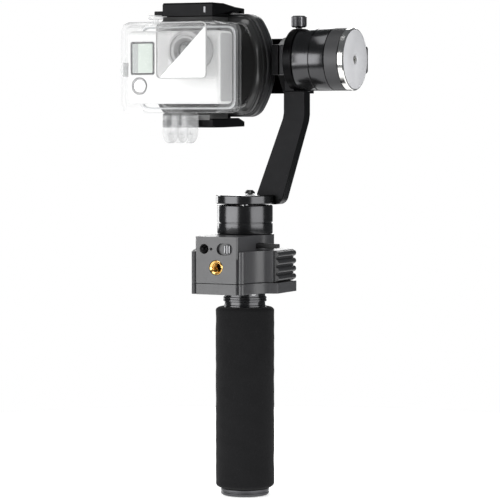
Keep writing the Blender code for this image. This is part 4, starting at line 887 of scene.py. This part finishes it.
@dataclass
class Handle(SubAssembly):
    """Foam sleeve, tube, tail cap, battery."""

    foam_round: float = 0.0032
    foam_rows: int = 150
    ripple: float = 0.00022

    def build(self) -> None:
        """Builds the foam sleeve and the turned pieces."""
        self.build_foam()
        self.build_tail_cap()
        self.build_neck_ring()
        self.dress(BLACK, "handle_tube")
        self.dress(WRAP, "battery_cell")
        self.dress(STEEL, "battery_spring")
        self.dress(BRASS, "battery_contact")

    def build_foam(self) -> None:
        """A sleeve with soft ends whose skin swells and sinks slightly."""
        low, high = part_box("foam_grip")
        outer, inner = (high.x - low.x) / 2, (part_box("handle_tube")[1].x + 0.0004)
        r = self.foam_round
        ends = [(outer - r + r * math.cos(a), low.z + r * 0.7 - r * 0.7 * math.sin(a))
                for a in np.linspace(0, math.pi / 2, 8)]
        side = [(outer, z) for z in np.linspace(high.z - r * 0.7, low.z + r * 0.7, self.foam_rows)]
        tops = [(outer - r + r * math.cos(a), high.z - r * 0.7 + r * 0.7 * math.sin(a))
                for a in np.linspace(math.pi / 2, 0, 8)]
        profile = [(inner, high.z)] + tops + side[1:-1] + ends + [(inner, low.z)]
        foam = Workshop.turned("foam_sleeve", profile, Axis.Z, (0, 0, 0), 128, True, 60)
        for vertex in foam.data.vertices:
            x, y, z = vertex.co
            radius = math.hypot(x, y)
            if radius < outer - r:
                continue
            turn = math.atan2(y, x)
            swell = (math.sin(z * 210 + 2 * math.sin(turn)) + 0.7 * math.sin(z * 470 + 3 * turn)
                     + 0.5 * math.sin(5 * turn + z * 95))
            share = 1 - (abs(swell) * self.ripple * 0.5 + self.ripple * 0.2) / radius
            vertex.co = (x * share, y * share, z)
        self.keep(foam, "foam", SPONGE, "foam_grip")

    def build_tail_cap(self) -> None:
        """A turned cap with a finger groove and a shallow dish underneath."""
        low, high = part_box("tail_cap")
        rim = (high.x - low.x) / 2
        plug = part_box("battery_cell")[1].x
        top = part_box("foam_grip")[0].z - 0.0003
        profile = [(0, high.z), (plug - 0.0006, high.z), (plug, high.z - 0.0006), (plug, top),
                   (rim - 0.0003, top),
                   (rim, top - 0.0003), (rim, 0.0026), (rim - 0.0004, 0.0023), (rim - 0.0004, 0.0019),
                   (rim, 0.0016), (rim, 0.0010), (rim - 0.0003, 0.0004), (rim - 0.0010, 0.0),
                   (rim - 0.0030, 0.0), (rim - 0.0034, 0.0003), (0, 0.0003)]
        cap = Workshop.turned("tail_cap_turned", profile, Axis.Z, (0, 0, 0), 96)
        self.keep(cap, "grey_metal", TAIL, "tail_cap", body="tail_cap")

    def build_neck_ring(self) -> None:
        """The lock ring, with rounded lips and a fine groove."""
        low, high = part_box("neck_ring")
        r, inner = (high.x - low.x) / 2, (high.x - low.x) / 2 - 0.0004
        middle = (low.z + high.z) / 2
        profile = [(inner, high.z), (r - 0.0002, high.z), (r, high.z - 0.0003), (r, middle + 0.0002),
                   (r - 0.0002, middle), (r, middle - 0.0002), (r, low.z + 0.0003), (r - 0.0002, low.z),
                   (inner, low.z)]
        ring = Workshop.turned("neck_ring_turned", profile, Axis.Z, (0, 0, 0), 96, True)
        self.keep(ring, "black_anodised", BLACK, "neck_ring")


@dataclass
class ControlBox(SubAssembly):
    """The box under the yaw motor, with its switches and insert."""

    def build(self) -> None:
        """Dresses the shells and builds what shows on the front."""
        self.dress(HOUSING, "control_box", ease=0.00050)
        self.dress(HOUSING, "box_cover", ease=0.00045)
        self.dress(GRIP_RUBBER, "side_grip_right", "side_grip_left", ease=0.00025)
        self.dress(BLACK_MATTE, "power_slider")
        self.build_slider_ridges()
        self.dress(DEEP_BLACK, "status_led")
        self.dress(RUBBER, "port_plug")
        self.dress(BOARD, "control_board")
        self.build_button()
        self.build_insert()
        self.build_cover_screws()

    def build_button(self) -> None:
        """The domed button on a narrow collar."""
        low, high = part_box("mode_button")
        r = (high.x - low.x) / 2
        centre = self.middle("mode_button")
        dome = [(r * math.sin(a), low.y + r - r * math.cos(a)) for a in np.linspace(math.radians(100), 0, 16)]
        profile = [(0, high.y), (r * 0.9, high.y), (r * 0.9, low.y + r * 1.3)] + dome[:-1] + [(0, low.y)]
        knob = Workshop.turned("mode_button_dome", profile, Axis.Y, (centre.x, 0, centre.z), 64, sharp=50)
        self.keep(knob, "gloss_black", DEEP_BLACK, "mode_button", body="mode_button")

    def build_slider_ridges(self) -> None:
        """Three upright finger ridges on the power slider."""
        low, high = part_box("power_slider")
        middle = (low.z + high.z) / 2
        step = (high.x - low.x) / 4
        for i in range(3):
            x = low.x + step * (i + 1)
            outline = fillet(box_corners(0.0007, 0.0046 if i == 1 else 0.0040, (x, middle)), 0.0003)
            ridge = Workshop.prism(f"slider_ridge_{i + 1}", outline, low.y - 0.0004, low.y + 0.0004,
                                   Axis.Y, 0.00012)
            self.keep(ridge, "grey_metal", RIDGE_AND_GLINT_GREY, body="power_slider")

    def build_insert(self) -> None:
        """The brass insert: chamfered mouth, and a thread in its bore."""
        low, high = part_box("tripod_insert")
        centre = self.middle("tripod_insert")
        outer, bore = (high.x - low.x) / 2, 0.0029
        profile = [(bore, high.y), (outer, high.y), (outer, low.y + 0.0003), (outer - 0.0003, low.y),
                   (bore + 0.0008, low.y), (bore, low.y + 0.0008)]
        profile = profile[::-1]
        sleeve = Workshop.turned("insert_sleeve", profile, Axis.Y, (centre.x, 0, centre.z), 72, True)
        self.keep(sleeve, "brass", BRASS, "tripod_insert")
        place = Matrix.Translation((centre.x, low.y + 0.0008, centre.z)) @ Axis.Y.matrix()
        thread = Thread().make("insert_thread", BRASS, place, Radius=bore, Length=0.0070, Crest=0.00035,
                               Turns=6.0)
        self.keep(thread, "brass", None)

    def build_cover_screws(self) -> None:
        """Four screws in the underside of the lower cover."""
        low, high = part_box("box_cover")
        spot = Matrix.Translation((0, (low.y + high.y) / 2 + 0.001, low.z + 0.0001))
        place = spot @ Matrix.Rotation(math.pi, 4, "X")
        screws = ScrewRow().make("cover_screws", STEEL, place, Width=0.036, Height=0.0345, Head=0.0013,
                                 Rise=0.0004)
        self.keep(screws, "steel", None)


@dataclass
class Motor(SubAssembly):
    """Ways to build a motor's turned case, whichever way it points."""

    def case_profile(self, radius: float, start: float, end: float, grooves: list[float], inner: float,
                     ease: float = 0.0005) -> Profile:
        """A case's closed profile, from its open end down its outer side.

        Args:
            radius: Outer radius.
            start: Floor end, along the axis.
            end: Open end.
            grooves: Places of the fine grooves.
            inner: Radius of the hollow.
            ease: Radius of the outer edges.

        Returns:
            The profile's points.
        """
        profile = [(inner, end), (radius - ease, end), (radius - ease * 0.3, end - ease * 0.3),
                   (radius, end - ease)]
        for at in sorted(grooves, reverse=True):
            wall = [(0.0, 0.00045), (0.0001, 0.00035), (0.0006, 0.00025)]
            profile += [(radius - sink, at + off) for sink, off in wall]
            profile += [(radius - sink, at - off) for sink, off in reversed(wall)]
        profile += [(radius, start + ease), (radius - ease * 0.3, start + ease * 0.3), (radius - ease, start),
                    (0.0030, start), (0.0030, start + 0.0018), (inner, start + 0.0018)]
        return profile


@dataclass
class YawMotor(Motor):
    """The motor on the box, its cap and the cranked arm."""

    def build(self) -> None:
        """Builds the turned case and dresses the cap and arm."""
        low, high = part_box("yaw_motor_case")
        radius = (high.x - low.x) / 2
        profile = self.case_profile(radius, low.z, high.z, [low.z + 0.0064], radius - 0.0022)
        case = Workshop.turned("yaw_case_turned", profile, Axis.Z, (0, 0, 0), 128, True)
        self.keep(case, "black_anodised", BLACK, "yaw_motor_case")
        self.dress(BLACK, "yaw_cap", ease=0.0003)
        self.dress(DEEP_BLACK, "yaw_arm", ease=0.00035)
        self.dress(DEEP_BLACK, "arm_head", ease=0.0003)
        self.dress(GLOSS, "arm_screw")
        self.dress(STEEL, "yaw_shaft")
        winding = Winding("yaw_copper", (0.62, 0.28, 0.12), 0.35, (0, 0, low.z))
        self.dress(winding, "yaw_windings")


@dataclass
class TiltMotor(Motor):
    """The motor that lies on the arm's head."""

    body: str = "yaw"
    knurl_columns: int = 26

    def build(self) -> None:
        """Builds the turned pieces, the knob and the end cap."""
        low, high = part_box("tilt_motor_case")
        centre = self.middle("tilt_motor_case")
        axis_point = (0, centre.y, centre.z)
        radius = (high.z - low.z) / 2
        self.build_case(low.x, high.x, radius, axis_point)
        self.build_band(radius, axis_point)
        self.build_end_cap(radius, axis_point)
        self.build_knob()
        self.dress(BLACK, "stop_plate", ease=0.0003)
        self.dress(Winding("tilt_copper", (0.62, 0.28, 0.12), 0.35, axis_point), "tilt_windings")

    def build_case(self, start: float, end: float, radius: float, axis_point: Point) -> None:
        """The case, stepped down where the matte band sits."""
        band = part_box("tilt_band")[0].x
        seat = radius - 0.0013
        profile = self.case_profile(radius, start, band - 0.0003, [start + 0.0103], seat - 0.0011)
        profile = [(seat - 0.0011, end), (seat, end), (seat, band - 0.0003)] + profile[1:]
        case = Workshop.turned("tilt_case_turned", profile, Axis.X, axis_point, 128, True)
        self.keep(case, "black_anodised", BLACK, "tilt_motor_case")

    def build_band(self, radius: float, axis_point: Point) -> None:
        """The matte band, with lines turned into it."""
        low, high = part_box("tilt_band")
        lines = []
        count = 16
        pitch = (high.x - low.x - 0.0010) / count
        for i in range(count, 0, -1):
            at = low.x + 0.0005 + pitch * i
            lines += [(radius, at), (radius - 0.00009, at - pitch * 0.5)]
        profile = [(radius - 0.0008, high.x), (radius - 0.0002, high.x)] + lines
        profile += [(radius, low.x + 0.0005), (radius - 0.0002, low.x), (radius - 0.0008, low.x)]
        band = Workshop.turned("tilt_band_turned", profile, Axis.X, axis_point, 128, True, 50)
        matte = Machined("band_matte", (0.055, 0.055, 0.057), 0.52, 0.5)
        self.keep(band, "grey_metal", matte, "tilt_band")

    def build_end_cap(self, radius: float, axis_point: Point) -> None:
        """The silver end: flat turned face, bright rim, and a countersunk screw."""
        low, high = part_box("tilt_end_cap")
        bore = 0.0028
        floor = low.x + 0.0022
        rim = [(radius - 0.0009, high.x), (radius - 0.0004, high.x - 0.0002), (radius, high.x - 0.0008),
               (radius, low.x + 0.0003), (radius - 0.0003, low.x)]
        profile = [(0, floor), (bore, floor), (bore, high.x - 0.0002), (bore + 0.0002, high.x)]
        cap = Workshop.turned("end_cap_turned", profile + rim + [(0, low.x)], Axis.X, axis_point, 144)
        face = Machined("end_cap_face", (0.68, 0.68, 0.695), 0.50, 0.25, Flow.TURNED, Axis.X,
                        axis_point, 0.00035, 0.0000015)
        edge = Machined("end_cap_rim", (0.80, 0.79, 0.77), 0.16, 1.0, Flow.BRUSHED, Axis.X)
        Workshop.paint(cap, face, edge)
        for polygon in cap.data.polygons:
            out = math.hypot(polygon.center.y - axis_point[1], polygon.center.z - axis_point[2])
            polygon.material_index = int(out > radius - 0.0011)
        self.keep(cap, "silver_aluminium", None, "tilt_end_cap")
        top = high.x - 0.0004
        screw = [(0, top - 0.0007), (0.0010, top - 0.0007), (0.0011, top), (0.0021, top),
                 (0.0024, top - 0.0004),
                 (0.0024, floor + 0.0003), (0, floor + 0.0003)]
        made = Workshop.turned("end_screw_turned", screw, Axis.X, axis_point, 48)
        pale = Machined("end_screw_pale", (0.80, 0.79, 0.76), 0.25, 0.9)
        self.keep(made, "steel", pale, "end_screw")

    def build_knob(self) -> None:
        """The thumb knob: an eased barrel with diamond teeth, and its stem."""
        low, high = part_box("thumb_knob")
        centre = self.middle("thumb_knob")
        r = (high.x - low.x) / 2
        base = high.z - 0.0066
        stem = 0.0016
        body = r - 0.00030
        profile = [(0, high.z), (body - 0.0008, high.z), (body - 0.0006, high.z - 0.0001),
                   (body, high.z - 0.0007),
                   (body, base + 0.0006), (body - 0.0006, base), (stem + 0.0008, base), (stem, base - 0.0004),
                   (stem, low.z), (0, low.z)]
        spot = (centre.x, centre.y, 0)
        knob = Workshop.turned("thumb_knob_turned", profile, Axis.Z, spot, 96)
        self.keep(knob, "black_anodised", BLACK, "thumb_knob", body="thumb_knob")
        place = Matrix.Translation((centre.x, centre.y, (high.z + base) / 2))
        # The teeth are lighter grey than the knob: painted highlights on the knurl.
        teeth = Knurl().make("thumb_knurl", KNURL_GLINT, place, Radius=body + 0.00002,
                             Height=high.z - base - 0.0020, Tooth=0.00052, Columns=self.knurl_columns, Rows=7)
        self.keep(teeth, "black_anodised", None, body="thumb_knob")


@dataclass
class TiltBracket(Motor):
    """The coupling block, the L-shaped bracket and the roll motor."""

    body: str = "tilt"

    def build(self) -> None:
        """Dresses the bracket and builds the roll motor's case."""
        self.dress(BLACK_MATTE, "coupling_block", ease=0.0003)
        self.dress(DEEP_BLACK, "tilt_bracket", ease=0.0003)
        self.dress(STEEL, "tilt_shaft")
        self.dress(BLACK_MATTE, "tilt_rotor")
        low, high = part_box("roll_motor_case")
        centre = self.middle("roll_motor_case")
        radius = (high.z - low.z) / 2
        profile = self.case_profile(radius, -high.y, -low.y, [-high.y + 0.0070], radius - 0.0022)
        flipped = [(r, -y) for r, y in reversed(profile)]
        case = Workshop.turned("roll_case_turned", flipped, Axis.Y, (centre.x, 0, centre.z), 128, True)
        self.keep(case, "black_anodised", BLACK, "roll_motor_case")
        self.dress(Winding("roll_copper", (0.62, 0.28, 0.12), 0.35, tuple(centre)), "roll_windings")
        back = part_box("tilt_bracket")[1].y
        place = Matrix.Translation((centre.x, back - 0.0001, centre.z)) @ Axis.Y.matrix()
        screws = ScrewRow().make("bracket_screws", STEEL, place, Width=0.0140, Height=0.0140, Head=0.0016,
                                 Rise=0.0005)
        self.keep(screws, "steel", None)


@dataclass
class Holder(SubAssembly):
    """The barrel-sided body that carries the jaws."""

    body: str = "roll"
    side_radius: float = 0.0470
    corner: float = 0.0090
    slot_width: float = 0.0246
    slot_depth: tuple[float, float] = (0.0137, 0.0183)

    def outline(self, inset: float) -> Profile:
        """The body's outline in (X, Z), pulled in by inset."""
        low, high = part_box("pod_shell")
        width, height = (high.x - low.x) / 2, (high.z - low.z) / 2 - inset
        centre = (low + high) / 2
        corner = self.corner - inset * 0.5
        radius = self.side_radius - inset
        shift = self.side_radius - width
        rise = height - corner
        corner_x = -shift + math.sqrt((radius - corner) ** 2 - rise ** 2)
        meet = math.atan2(rise, corner_x + shift)
        side = [(-shift + radius * math.cos(a), radius * math.sin(a)) for a in np.linspace(-meet, meet, 22)]
        turn = [(corner_x + corner * math.cos(a), rise + corner * math.sin(a))
                for a in np.linspace(meet, math.pi / 2, 10)][1:]
        right = [(x, -z) for x, z in reversed(turn)] + side + turn
        whole = right + [(-x, -z) for x, z in right]
        return [(centre.x + x, centre.z + z) for x, z in whole]

    def lofted(self, name: str, levels: Profile) -> bpy.types.Object:
        """A skin through (inset, Y) levels, closed front and back."""
        shape = bmesh.new()
        rows = [[shape.verts.new((x, y, z)) for x, z in self.outline(inset)] for inset, y in levels]
        count = len(rows[0])
        for near, far in zip(rows, rows[1:]):
            for i in range(count):
                k = (i + 1) % count
                shape.faces.new((near[i], near[k], far[k], far[i]))
        shape.faces.new(rows[0])
        shape.faces.new(list(reversed(rows[-1])))
        return Workshop.object_from(shape, name, 28)

    def build(self) -> None:
        """Builds the two shells, their screws, and dresses the rest."""
        low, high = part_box("pod_shell")
        front = low.y
        levels = [(0.0017, front), (0.0006, front + 0.0003), (0.0001, front + 0.0009), (0, front + 0.0014),
                  (0, front + 0.0038), (0.0002, front + 0.0041), (0.0009, front + 0.0043),
                  (0.0009, front + 0.0049), (0.0002, front + 0.0051), (0, front + 0.0054),
                  (0, high.y - 0.0036), (0.0003, high.y - 0.0024), (0.0012, high.y - 0.0009),
                  (0.0024, high.y - 0.0002), (0.0034, high.y)]
        shell = self.lofted("holder_shell", levels)
        self.cut_slots(shell)
        self.keep(shell, "housing_plastic", HOLDER, "pod_shell")
        low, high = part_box("pod_bezel")
        front, back = low.y, high.y
        levels = [(0.0068, front + 0.0010), (0.0064, front + 0.0008), (0.0060, front), (0.0048, front),
                  (0.0043, front + 0.0003), (0.0027, front + 0.0020), (0.0024, front + 0.0026),
                  (0.0024, front + 0.0029), (0.0018, front + 0.0031), (0.0015, front + 0.0036),
                  (0.0014, back - 0.0006), (0.0018, back)]
        bezel = self.lofted("holder_bezel", levels)
        self.keep(bezel, "gloss_black", GLOSS, "pod_bezel")
        centre = self.middle("pod_bezel")
        spot = Matrix.Translation((centre.x, front + 0.0011, centre.z))
        place = spot @ Axis.Y.matrix() @ Matrix.Rotation(math.pi, 4, "X")
        screws = ScrewRow().make("bezel_screws", BLACK_MATTE, place, Width=0.0554, Height=0.0400,
                                 Head=0.0020, Rise=0.0006)
        self.keep(screws, "black_anodised", None)
        self.dress(RUBBER, "rest_pad", ease=0.0008)
        self.dress(BLACK, "roll_hub")
        self.dress(STEEL, "roll_shaft")
        self.dress(BOARD, "motion_sensor")

    def cut_slots(self, shell: bpy.types.Object) -> None:
        """Opens the slots that the jaws' stems slide in, and the sensor's pocket."""
        low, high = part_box("pod_shell")
        for jaw in ("top_jaw", "lower_jaw"):
            jaw_low, jaw_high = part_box(jaw)
            inner = jaw_low.z if jaw == "top_jaw" else jaw_high.z
            outer = high.z + 0.002 if jaw == "top_jaw" else low.z - 0.002
            reach = -0.0018 if jaw == "top_jaw" else 0.0018
            hole = box_corners(self.slot_width, abs(outer - inner - reach),
                               ((low.x + high.x) / 2, (outer + inner + reach) / 2))
            tool = Workshop.prism("slot_tool", hole, *self.slot_depth, Axis.Y)
            Workshop.carve(shell, tool)
        board_low, board_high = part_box("motion_sensor")
        size = board_high - board_low
        spot = (board_low + board_high) / 2
        tool = Workshop.prism("pocket_tool", box_corners(size.x + 0.001, size.z + 0.001, (spot.x, spot.z)),
                              low.y - 0.001, board_high.y + 0.0005, Axis.Y)
        Workshop.carve(shell, tool)


@dataclass
class Jaws(SubAssembly):
    """The two sprung jaws, with their pads."""

    # Height of the painted highlight band.
    highlight_middle: float = 0.2155

    def build(self) -> None:
        """Dresses both jaws and builds the painted highlight band and the painted edge highlight."""
        self.dress(DEEP_BLACK, "top_jaw", "lower_jaw", ease=0.00035)
        self.dress(RUBBER, "top_jaw_pad", "lower_jaw_pad")
        self.build_highlight_band()
        self.build_edge_highlight()

    def build_highlight_band(self) -> None:
        """A grey strip on the lower jaw's front lip, cut in two: a painted highlight."""
        low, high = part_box("lower_jaw")
        spans = (("left", low.x + 0.0010, low.x + 0.0050), ("right", low.x + 0.0200, high.x - 0.0018))
        for name, start, end in spans:
            outline = fillet(box_corners(end - start, 0.0030, ((start + end) / 2, self.highlight_middle)), 0.0004)
            strip = Workshop.prism(f"jaw_strip_{name}", outline, low.y - 0.0003, low.y + 0.0003, Axis.Y,
                                   0.0001)
            self.keep(strip, "grey_metal", JAW_HIGHLIGHT, body="lower_jaw")

    def build_edge_highlight(self) -> None:
        """A small pale upright mark in the top jaw's front lip: a painted highlight."""
        low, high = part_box("top_jaw")
        top = high.z
        # Painted highlight: a pale upright mark where the jaw's edge catches light.
        outline = fillet(box_corners(0.0011, 0.0034, (-0.0190, top - 0.0040)), 0.0004)
        edge_glint = Workshop.prism("jaw_edge_highlight", outline, low.y - 0.0004, low.y + 0.0004, Axis.Y, 0.0001)
        self.keep(edge_glint, "grey_metal", RIDGE_AND_GLINT_GREY, body="top_jaw")


@dataclass
class CameraCase(SubAssembly):
    """The clear case: shell, door, port, shutter button and latch."""

    body: str = "camera"
    latch_height: float = 0.2425
    pane_side: float = 0.0302

    def build(self) -> None:
        """Dresses the clear shells and builds the port's rim, the latch and the gasket."""
        self.dress(CASE_CLEAR, "case_front", "case_door", ease=0.00045)
        self.dress(PRONG_CLEAR, "shutter_button", ease=0.0003)
        self.build_port()
        self.build_latch()
        self.build_gasket()

    def build_port(self) -> None:
        """The square port's flat window and the rim that holds it."""
        low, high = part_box("port_glass")
        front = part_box("case_front")[0].y
        centre = (low + high) / 2
        spot = (centre.x, centre.z)
        side = self.pane_side
        pane = Workshop.prism("port_pane", fillet(box_corners(side, side, spot), 0.0026), front - 0.0003,
                              front - 0.00005, Axis.Y, 0.00008)
        # The window carries a painted reflection on its diagonal.
        window = ReflectionWindow("port_window_reflection", (0.90, 0.905, 0.90), 0.08, (centre.x + 0.0010, 0, centre.z - 0.0008))
        self.keep(pane, "clear_plastic", window, "port_glass")
        rim = Workshop.framed("port_rim", (side + 0.0012, side + 0.0012), spot, 0.0011, (0.0031, 0.0026),
                              (front - 0.00035, front + 0.0004), 0.0006, 0.0001)
        self.keep(rim, "clear_plastic", PORT_RIM)

    def build_latch(self) -> None:
        """The grey latch on the left of the case."""
        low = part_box("case_front")[0]
        middle = self.latch_height
        outline = fillet([(low.x - 0.0002, middle - 0.0042), (low.x - 0.0021, middle - 0.0032),
                          (low.x - 0.0021, middle + 0.0032), (low.x - 0.0002, middle + 0.0042)], 0.0006)
        latch = Workshop.prism("case_latch", outline, -0.0300, -0.0150, Axis.Y, 0.0004)
        self.keep(latch, "clear_plastic", LATCH_CLEAR)

    def build_gasket(self) -> None:
        """The pale seal between the case and its door."""
        low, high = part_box("case_door")
        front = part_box("case_front")[1].y
        inset = 0.0021
        centre = ((low.x + high.x) / 2, (low.z + high.z) / 2)
        width, height = high.x - low.x - 2 * inset, high.z - low.z - 2 * inset
        cord = Workshop.framed("case_seal", (width, height), centre, 0.0020, (0.005, 0.0042),
                               (front - 0.0010, front + 0.0001), 0.0010)
        self.keep(cord, "rubber", SEAL)


@dataclass
class Camera(SubAssembly):
    """The action camera inside its case."""

    body: str = "camera"
    lens_reach: float = 0.0060

    def build(self) -> None:
        """Dresses the shell and builds the lens, screen and front button."""
        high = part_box("camera_body")[1]
        # The grey right-hand side is painted shade.
        shell = ShadedSideShell("camera_shell", SHELL_WHITE.colour, 0.42, (high.x - 0.0003, 0, 0), CAMERA_SIDE_SHADE.colour)
        self.dress(shell, "camera_body", ease=0.0005)
        self.build_lens()
        self.build_screen()
        self.build_button()

    def build_lens(self) -> None:
        """Stepped grey rings round a dark domed lens."""
        low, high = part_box("camera_lens")
        centre = self.middle("camera_lens")
        r = (high.x - low.x) / 2
        front = low.y - self.lens_reach
        spot = (centre.x, 0, centre.z)
        rings = [(r * 0.50, high.y), (r - 0.0003, high.y), (r, high.y - 0.0003), (r, front + 0.0010),
                 (r - 0.0004, front + 0.0006), (r - 0.0014, front + 0.0006), (r - 0.0016, front + 0.0012),
                 (r - 0.0026, front + 0.0012), (r - 0.0028, front + 0.0003), (r - 0.0031, front),
                 (r - 0.0040, front), (r - 0.0043, front + 0.0004), (r - 0.0052, front + 0.0024),
                 (r * 0.50, front + 0.0028)]
        barrel = Workshop.turned("lens_rings", rings[::-1], Axis.Y, spot, 96, True)
        self.keep(barrel, "grey_metal", CAMERA_RING, "camera_lens")
        bulge = r * 0.50 - 0.0002
        dome = [(0, high.y - 0.0004), (bulge, high.y - 0.0004), (bulge, front + 0.0030)]
        dome += [(bulge * math.cos(a), front + 0.0030 - 0.0019 * math.sin(a))
                 for a in np.linspace(0, math.pi / 2, 12)[1:-1]] + [(0, front + 0.0011)]
        glass = Workshop.turned("lens_glass", dome, Axis.Y, spot, 72)
        self.keep(glass, "gloss_black", LENS_DARK)

    def build_screen(self) -> None:
        """The status screen with its rounded dark frame."""
        low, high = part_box("camera_screen")
        centre = (low + high) / 2
        width, height = high.x - low.x, high.z - low.z
        pane = Workshop.prism("screen_pane", fillet(box_corners(width - 0.0018, height - 0.0018,
                              (centre.x, centre.z)), 0.0008), low.y - 0.0002, high.y - 0.0001, Axis.Y, 0.0001)
        glass = Screen("screen_glass", (0.50, 0.56, 0.51), 0.30, tuple(centre))
        self.keep(pane, "clear_plastic", glass, "camera_screen")
        frame = Workshop.framed("screen_frame", (width, height), (centre.x, centre.z), 0.0016,
                                (0.0012, 0.0009), (low.y - 0.0001, high.y), 0.001, 0.00012)
        self.keep(frame, "gloss_black", TRIM_DARK)

    def build_button(self) -> None:
        """The round front button: silver rim, dished face."""
        low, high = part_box("camera_button")
        centre = self.middle("camera_button")
        r = (high.x - low.x) / 2
        front = low.y
        profile = [(0, high.y), (r, high.y), (r, front + 0.0004), (r - 0.0004, front), (r - 0.0010, front),
                   (r - 0.0013, front + 0.0005), (r * 0.4, front + 0.0007), (0, front + 0.0008)]
        button = Workshop.turned("front_button", profile, Axis.Y, (centre.x, 0, centre.z), 72)
        Workshop.paint(button, BUTTON_RING, SILVER_TRIM)
        for polygon in button.data.polygons:
            out = math.hypot(polygon.center.x - centre.x, polygon.center.z - centre.z)
            polygon.material_index = int(out < r - 0.0012)
        self.keep(button, "silver_aluminium", None, "camera_button")


# Studio -------------------------------------------------------------------


def direction(azimuth: float, elevation: float) -> Vector:
    """The way from the part to a place round it, both angles in degrees."""
    a, e = math.radians(azimuth), math.radians(elevation)
    return Vector((math.sin(a) * math.cos(e), -math.cos(a) * math.cos(e), math.sin(e)))


@dataclass(frozen=True)
class SoftBox:
    """One area light, placed round the part."""

    name: str
    azimuth: float
    elevation: float
    distance: float
    size: tuple[float, float]
    power: float
    aim: Point = (0.0, 0.0, 0.16)

    def build(self) -> bpy.types.Object:
        """Adds the light and turns it to its aim."""
        data = bpy.data.lights.new(self.name, "AREA")
        data.shape = "RECTANGLE"
        data.size, data.size_y = self.size
        data.energy = self.power
        made = bpy.data.objects.new(self.name, data)
        bpy.context.scene.collection.objects.link(made)
        back = direction(self.azimuth, self.elevation)
        made.location = Vector(self.aim) + back * self.distance
        made.rotation_euler = back.to_track_quat("Z", "Y").to_euler()
        return made


@dataclass
class Studio:
    """Camera, soft lights and a pale floor."""

    azimuth: float = 26.0
    elevation: float = 3.25
    distance: float = 1.43
    view_width: float = 0.285
    sensor: float = 36.0
    aim_right: float = 0.00285
    aim_up: float = 0.140
    floor_radius: float = 0.42
    ambient: float = 0.12
    boxes: list[SoftBox] = field(default_factory=lambda: [
        SoftBox("key_left", -32, 6, 0.95, (1.00, 0.62), 11.0),
        SoftBox("fill_right", 79, 6, 0.95, (1.00, 0.62), 7.5),
        SoftBox("back_left", 200, 20, 1.10, (0.40, 0.70), 3.0),
        SoftBox("back_right", 238, 12, 1.10, (0.40, 0.70), 4.0),
        SoftBox("top", 20, 78, 0.90, (0.55, 0.55), 3.0)])

    def build(self) -> None:
        """Adds everything round the part."""
        self.build_floor()
        self.build_world()
        for box in self.boxes:
            box.build()
        self.build_camera()

    def build_floor(self) -> None:
        """A wide pale disc just under the tail cap."""
        floor = Workshop.prism("floor", circle(self.floor_radius, (0.0, 0.0), 96), -0.0100, -0.0004, Axis.Z)
        Workshop.paint(floor, FLOOR_WHITE)

    def build_world(self) -> None:
        """White to the camera, and a dim even grey to everything it lights."""
        bpy.context.scene.view_settings.view_transform = "Standard"
        world = bpy.data.worlds.new("studio")
        bpy.context.scene.world = world
        world.use_nodes = True
        tree = world.node_tree
        tree.nodes.clear()
        path = tree.nodes.new("ShaderNodeLightPath")
        seen = tree.nodes.new("ShaderNodeBackground")
        seen.inputs["Color"].default_value = (1.0, 1.0, 1.0, 1.0)
        seen.inputs["Strength"].default_value = 1.0
        lit = tree.nodes.new("ShaderNodeBackground")
        lit.inputs["Color"].default_value = (0.90, 0.95, 1.0, 1.0)
        lit.inputs["Strength"].default_value = self.ambient
        both = tree.nodes.new("ShaderNodeMixShader")
        end = tree.nodes.new("ShaderNodeOutputWorld")
        tree.links.new(path.outputs["Is Camera Ray"], both.inputs[0])
        tree.links.new(lit.outputs[0], both.inputs[1])
        tree.links.new(seen.outputs[0], both.inputs[2])
        tree.links.new(both.outputs[0], end.inputs["Surface"])

    def build_camera(self) -> None:
        """The camera, at its measured angle and distance."""
        data = bpy.data.cameras.new("camera")
        data.sensor_width = self.sensor
        data.lens = self.sensor * self.distance / self.view_width
        made = bpy.data.objects.new("camera", data)
        bpy.context.scene.collection.objects.link(made)
        back = direction(self.azimuth, self.elevation)
        right = Vector((-back.y, back.x, 0)).normalized()
        made.location = right * self.aim_right + Vector((0, 0, self.aim_up)) + back * self.distance
        made.rotation_euler = back.to_track_quat("Z", "Y").to_euler()
        data.clip_start, data.clip_end = 0.05, 20.0
        bpy.context.scene.camera = made


def main() -> None:
    """Builds the whole part in order."""
    logging.basicConfig(level=logging.INFO, format="%(name)s: %(message)s")
    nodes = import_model()["nodes"]
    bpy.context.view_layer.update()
    for assembly in (Handle, ControlBox, YawMotor, TiltMotor, TiltBracket, Holder, Jaws, CameraCase, Camera):
        part = assembly(nodes)
        part.build()
        log.info("%s done: %s", assembly.__name__, ", ".join(part.made))
    Studio().build()


if __name__ == "__main__":
    main()
